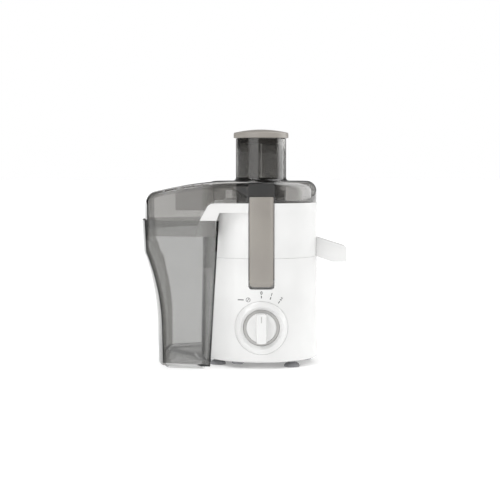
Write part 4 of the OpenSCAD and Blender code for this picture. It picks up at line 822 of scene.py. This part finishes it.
def spout_form(name, inset, left):
    """The gutter's side view, drawn in by inset, with a rounded outer corner above its mouth."""
    lean = math.degrees(math.atan(SPOUT_FALL / (SPOUT_END - SPOUT_BEND)))
    corner = SPOUT_CORNER - inset
    end_x, end_z = SPOUT_END - inset - corner, SPOUT_ROOT - SPOUT_FALL - inset - corner + 0.8
    mouth = MOUTH_LOW - (8 if inset else 0)
    outline = [(left, SPOUT_ROOT - inset), (SPOUT_BEND, SPOUT_ROOT - inset)]
    outline += bend_points((end_x, end_z), corner, 90 - lean, 0, 6)
    outline += [(SPOUT_END - inset, mouth), (MOUTH_LEFT + inset, mouth)]
    outline += [(MOUTH_LEFT + inset, MOUTH_LOW + inset)]
    outline += [(SPOUT_BEND, SPOUT_FLOOR + inset), (left, SPOUT_FLOOR + inset)]
    return pulled(name, outline, "Y", inset - SPOUT_HALF, SPOUT_HALF - inset)


# %% Gutter and its passage
spout = spout_form("spout_moulding", 0, 70)
combine(spout, body_form(0.3), "DIFFERENCE")
round_edges(spout, 1.8, 4, 50)
combine(spout, block("spout_port", *PORT), "UNION")
passage = spout_form("spout_passage", SPOUT_WALL, 86)
combine(spout, passage, "DIFFERENCE")
combine(spout, block("port_passage", *PORT_WAY), "DIFFERENCE")
finish_piece(spout, WHITE_ABS, "base", "white_plastic", "juice_spout")

# %% [markdown]
# ## Suction feet
# Four soft feet carry the body. Each is a thick round disc with a bulging side, dished
# underneath, on a neck that reaches up to the base plate. Its stem goes through the
# plate. The same section is turned round each foot's own axis.

# %% Section of a foot, turned four times
FOOT_ANGLES, FOOT_CIRCLE = (-50, 21, 130, 204), 70
FOOT_R, NECK_R, STEM_R = 11.5, 6.2, 4
SOLE, DISH, BULGE, PLATE_Z, STEM_TOP = 0.45, 1.4, 5, 10.3, 13
inner = FOOT_R - SOLE
dish = (inner ** 2 + DISH ** 2) / (2 * DISH)
hollow = bend_points((0, DISH - dish), dish, 90, 90 - math.degrees(math.asin(inner / dish)), 6)
disc = [(0, DISH)] + hollow[1:] + bend_points((inner, SOLE), SOLE, -90, 0, 4)[1:]
disc += bend_points((FOOT_R - BULGE, 2 * SOLE), BULGE, 0, 90, 8)
disc += [(NECK_R, 2 * SOLE + BULGE), (NECK_R, PLATE_Z), (STEM_R, PLATE_Z), (STEM_R, STEM_TOP), (0, STEM_TOP)]
feet = []
for angle in FOOT_ANGLES:
    turn = math.radians(angle)
    feet.append(turned("foot", disc, 48, FOOT_CIRCLE * math.cos(turn), FOOT_CIRCLE * math.sin(turn)))
suction_feet = joined("suction_feet", feet)
finish_piece(suction_feet, FOOT_RUBBER, "base", "foot_rubber", "feet")

# %% [markdown]
# ## Pusher and its cap
# The pusher is a deep cup of darker smoked plastic, stiffened inside by two crossed ribs.
# Its grey cap has a softly rounded rim and a low dome.

# %% Pusher
PUSHER_OUT, PUSHER_LOW, PUSHER_TOP = 34.7, 205.8, 338
RIB_REACH, RIB_HALF, RIB_TOP = 33.5, 0.8, 327
corner = bend_points((PUSHER_OUT - 3, PUSHER_LOW + 3), 3, 270, 360, 5)
inside = [(PUSHER_OUT - 2, PUSHER_TOP), (PUSHER_OUT - 2, PUSHER_LOW + 4), (PUSHER_OUT - 4, PUSHER_LOW + 2)]
pusher = turned("pusher_cup", [(0, PUSHER_LOW)] + corner + [(PUSHER_OUT, PUSHER_TOP)] + inside
                + [(0, PUSHER_LOW + 2)], 160)
for x, y in ((RIB_REACH, RIB_HALF), (RIB_HALF, RIB_REACH)):
    rib = block("pusher_rib", (-x, -y, PUSHER_LOW + 1), (x, y, RIB_TOP))
    combine(pusher, rib, "UNION")
finish_piece(pusher, DARK_SAN, "pusher", "smoked_plastic", "pusher_body")

# %% Cap
CAP_OUT, CAP_LOW, CAP_H = 40.9, 335.3, 13
CROWN_RISE, PLUG_R, PLUG_H = 5, 32.4, 8
# The underside's inner radius, and the rim's rounding: radius and height
UNDER_R, RIM_ROUND, RIM_Z = 35, 2.4, CAP_LOW + 6.2
crown_radius = (CAP_OUT ** 2 + CROWN_RISE ** 2) / (2 * CROWN_RISE)
crown = [(crown_radius * math.sin(math.radians(a)),
          CAP_LOW + CAP_H - crown_radius + crown_radius * math.cos(math.radians(a)))
         for a in (13.2, 11, 9, 7, 5, 3, 1)]
under = [(0, CAP_LOW - PLUG_H), (PLUG_R, CAP_LOW - PLUG_H), (PLUG_R, PUSHER_TOP + 0.3),
         (UNDER_R, PUSHER_TOP + 0.3), (UNDER_R, CAP_LOW), (CAP_OUT - 0.8, CAP_LOW), (CAP_OUT, CAP_LOW + 0.8)]
rim = bend_points((CAP_OUT - RIM_ROUND, RIM_Z), RIM_ROUND, 0, 70, 6)
cap = turned("pusher_cap_moulding", under + rim + crown + [(0, CAP_LOW + CAP_H)], 160)
finish_piece(cap, GREY_ABS, "pusher", "warm_grey_plastic", "pusher_cap")

# %% [markdown]
# ## Latches
# A latch is a long curved plate with rounded lower corners, a border behind it, two eyes
# round its hinge pin and a toe at the top that holds the lid down. The front one is
# modelled, and a copy turned half round the motor's axis serves the rear.

# %% Sizes of the latch
LATCH_HALF, LATCH_LOW, LATCH_TOP, LATCH_FACE = 17.3, 119.4, 249, 86
PIN_Y, PIN_Z = -79, 129
# The plate's back, its border's width, and where its hollow ends under the toe
LATCH_BACK, BORDER, HOLLOW_TOP = 83, 2.4, 243.3
# The eyes round the pin: radius, width and distance from the middle
EYE_R, EYE_WIDE, EYE_X = 5.4, 2.4, 16.1
# Each by two opposite corners: the toe, the rib on the back and the space at the heel
TOE = (-16.4, -85, 243.4), (16.4, -72.6, 248.6)
BACK_RIB = (-1, -84, 130), (1, -78.4, 245)
HEEL_SPACE = (-20, -82.2, 100), (20, -70, 126)


def latch_outline(inset):
    """The plate seen from the front, drawn in by inset."""
    half, low, high = LATCH_HALF - inset, LATCH_LOW + inset, LATCH_TOP - inset
    lower, upper = 5.5 - inset, 1.2
    return (bend_points((half - lower, low + lower), lower, -90, 0, 8)
            + bend_points((half - upper, high - upper), upper, 0, 90, 3)
            + bend_points((upper - half, high - upper), upper, 90, 180, 3)
            + bend_points((lower - half, low + lower), lower, 180, 270, 8))


# %% Curved plate with its border
front_latch = pulled("front_latch_moulding", latch_outline(0), "Y", -95, -77.3)
tip = bend_points((LATCH_FACE - 9, LATCH_LOW + 8), 9, -38, 0, 6)
face = turned("latch_face", [(0, 100), (tip[0][0], 100)] + tip + [(LATCH_FACE, 260), (0, 260)], 360)
combine(front_latch, face, "INTERSECT")
round_edges(front_latch, 1.1, 3, 50)
hollow = pulled("latch_hollow", latch_outline(BORDER), "Y", -95, -60)
back = turned("latch_back", [(0, 110), (LATCH_BACK, 110), (LATCH_BACK, HOLLOW_TOP), (0, HOLLOW_TOP)], 360)
combine(hollow, back, "INTERSECT")
combine(front_latch, hollow, "DIFFERENCE")
combine(front_latch, block("heel_space", *HEEL_SPACE), "DIFFERENCE")
print("latch plate:", len(front_latch.data.polygons), "faces")

# %% Eyes, toe and rib
for side in (-1, 1):
    start_clean()
    bpy.ops.mesh.primitive_cylinder_add(vertices=48, radius=EYE_R * MM, depth=EYE_WIDE * MM,
                                        location=at(side * EYE_X, PIN_Y, PIN_Z), rotation=(0, math.pi / 2, 0))
    eye = bpy.context.object
    apply_place()
    combine(eye, turned("eye_limit", [(0, 100), (85.2, 100), (85.2, 260), (0, 260)], 120), "INTERSECT")
    combine(front_latch, eye, "UNION")
toe = block("toe", *TOE)
round_edges(toe, 1.0, 2, 40)
combine(front_latch, toe, "UNION")
combine(front_latch, block("back_rib", *BACK_RIB), "UNION")
rear_latch = front_latch.copy()
rear_latch.data = front_latch.data.copy()
rear_latch.name = "rear_latch_moulding"
bpy.context.scene.collection.objects.link(rear_latch)
rear_latch.rotation_euler = (0, 0, math.pi)
rear_latch.location = (2 * AXIS.x, 2 * AXIS.y, 0)
finish_piece(front_latch, GREY_ABS, "front_latch", "warm_grey_plastic", "front_latch")
finish_piece(rear_latch, GREY_ABS, "rear_latch", "warm_grey_plastic", "rear_latch")

# %% [markdown]
# ## Dial
# The knob is a round disc with a tapered grip bar across it. It is turned and pulled
# lying on its back and then tipped up to face forward.

# %% Tip a form up on to the dial's axis
DIAL_Z = 60
# Forward of the shaft: the disc's back and face, the grip bar's face
KNOB_BACK, KNOB_FACE, GRIP_FACE = 78.42, 83.92, 100.42
KNOB_R, KNOB_ROUND, KNOB_DISH = 22, 1.2, 0.25
# The grip bar's half width at its foot and at its face, and the bore's radius and end
BAR_FOOT, BAR_HEAD, BORE_R, BORE_END = 7.5, 6.9, 3.05, 93
RING_R, RING_IN, RING_BACK = 26.1, 22.3, 75.7


def face_forward(piece):
    """Turn a form made lying down, so that its height becomes its distance forward of the shaft."""
    only(piece)
    piece.rotation_euler = (math.pi / 2, 0, 0)
    piece.location = (0, AXIS.y, DIAL_Z * MM - AXIS.y)
    apply_place()


# %% Disc, grip bar and bore
rim = bend_points((KNOB_R - KNOB_ROUND, KNOB_FACE - KNOB_ROUND), KNOB_ROUND, 0, 90, 5)
knob = turned("knob_moulding", [(0, KNOB_BACK), (KNOB_R - 0.4, KNOB_BACK), (KNOB_R, KNOB_BACK + 0.4)]
              + rim + [(17, KNOB_FACE - KNOB_DISH), (0, KNOB_FACE - KNOB_DISH)], 128)
bar = pulled("grip_bar", [(-BAR_FOOT, KNOB_BACK + 1), (BAR_FOOT, KNOB_BACK + 1), (BAR_HEAD, GRIP_FACE),
                          (-BAR_HEAD, GRIP_FACE)], "Y", -24, 24)
limit = turned("bar_limit", [(0, 70), (KNOB_R - 0.3, 70), (KNOB_R - 0.6, GRIP_FACE + 1), (0, GRIP_FACE + 1)],
               128)
combine(bar, limit, "INTERSECT")
round_edges(bar, 1.5, 4, 40)
combine(knob, bar, "UNION")
combine(knob, block("pointer_groove", (-0.7, 9, GRIP_FACE - 0.4), (0.7, 18, GRIP_FACE + 1)), "DIFFERENCE")
combine(knob, turned("shaft_bore", [(0, 60), (BORE_R, 60), (BORE_R, BORE_END), (0, BORE_END)], 48),
        "DIFFERENCE")
face_forward(knob)
finish_piece(knob, WHITE_ABS, "knob", "white_plastic", "knob")
pointer = block("knob_pointer", (-0.65, 9.1, GRIP_FACE - 0.4), (0.65, 17.9, GRIP_FACE - 0.1))
round_edges(pointer, 0.1, 2, 40)
face_forward(pointer)
finish_piece(pointer, RING_ABS, "knob", "pale_grey_plastic")

# %% Ring round the knob
ring = turned("dial_ring_moulding", [(6, RING_BACK), (RING_R, RING_BACK), (RING_R, KNOB_FACE - 1.7)]
              + bend_points((25.4, KNOB_FACE - 2.2), 0.7, 45, 110, 4)
              + [(22.5, KNOB_FACE - 0.6), (RING_IN, KNOB_FACE - 0.9), (RING_IN, KNOB_BACK - 0.3),
                 (6, KNOB_BACK - 0.3)], 128)
face_forward(ring)
finish_piece(ring, RING_ABS, "base", "pale_grey_plastic", "dial_ring")

# %% [markdown]
# The dial's marks are printed: a short tick and a number for each position, and on the
# left a ring with a slanted stroke and a dash for the pulse position. Each mark is a thin
# layer of ink, placed by its angle round the dial and turned to follow the round body.

# %% Marks round the dial
INK = 0.24
TICK_RING, NUMBER_RING, DASH_RING = 45, 50.6, 50.4
# In degrees, clockwise from the top
POSITIONS = (("0", 0), ("1", 17), ("2", 34.5))
PULSE, DASH = -25.3, -36.5


def place_mark(mark, distance, degrees, upright=False):
    """Move a flat mark, drawn facing up at the origin, to its place round the dial on the body's skin."""
    x = distance * math.sin(math.radians(degrees))
    z = DIAL_Z + distance * math.cos(math.radians(degrees))
    skin = body_radius(z)
    turn = math.asin(x / skin)
    only(mark)
    mark.rotation_euler = (math.pi / 2, 0 if upright else math.radians(degrees), turn)
    mark.location = at(x, -skin * math.cos(turn), z)
    apply_place()


def ink_bar(width, length):
    """A thin bar of ink with softened edges, lying at the origin."""
    start_clean()
    bpy.ops.mesh.primitive_cube_add(size=1, location=(0, 0, 0), scale=(width * MM, length * MM, INK * MM))
    bar = bpy.context.object
    round_edges(bar, 0.08, 1, 40)
    return bar


def number(text, degrees):
    """A printed number outside its tick."""
    start_clean()
    bpy.ops.object.text_add(location=(0, 0, 0))
    mark = bpy.context.object
    mark.data.body = text
    mark.data.size = 6.4 * MM
    mark.data.extrude = INK / 2 * MM
    mark.data.offset = 0.14 * MM
    mark.data.align_x, mark.data.align_y = "CENTER", "CENTER"
    bpy.ops.object.convert(target="MESH")
    mark = bpy.context.object
    mark.name = "number"
    place_mark(mark, NUMBER_RING, degrees)
    return mark


marks = []
for text, degrees in POSITIONS:
    tick = ink_bar(1.3, 3.6)
    tick.name = "tick"
    place_mark(tick, TICK_RING, degrees)
    marks += [tick, number(text, degrees)]

# %% The pulse position's ring, stroke and dash
start_clean()
bpy.ops.mesh.primitive_torus_add(major_radius=3.0 * MM, minor_radius=0.35 * MM,
                                 major_segments=48, minor_segments=8)
loop = bpy.context.object
loop.scale = (1, 1, 0.4)
place_mark(loop, TICK_RING, PULSE)
stroke = ink_bar(0.8, 4.6)
stroke.data.transform(Matrix.Rotation(math.radians(-55), 4, "Z"))
place_mark(stroke, TICK_RING, PULSE)
dash = ink_bar(9, 1.3)
place_mark(dash, DASH_RING, DASH, upright=True)
marks = joined("dial_marks", marks + [loop, stroke, dash])
finish_piece(marks, MARK_INK, "base", "black_plastic")
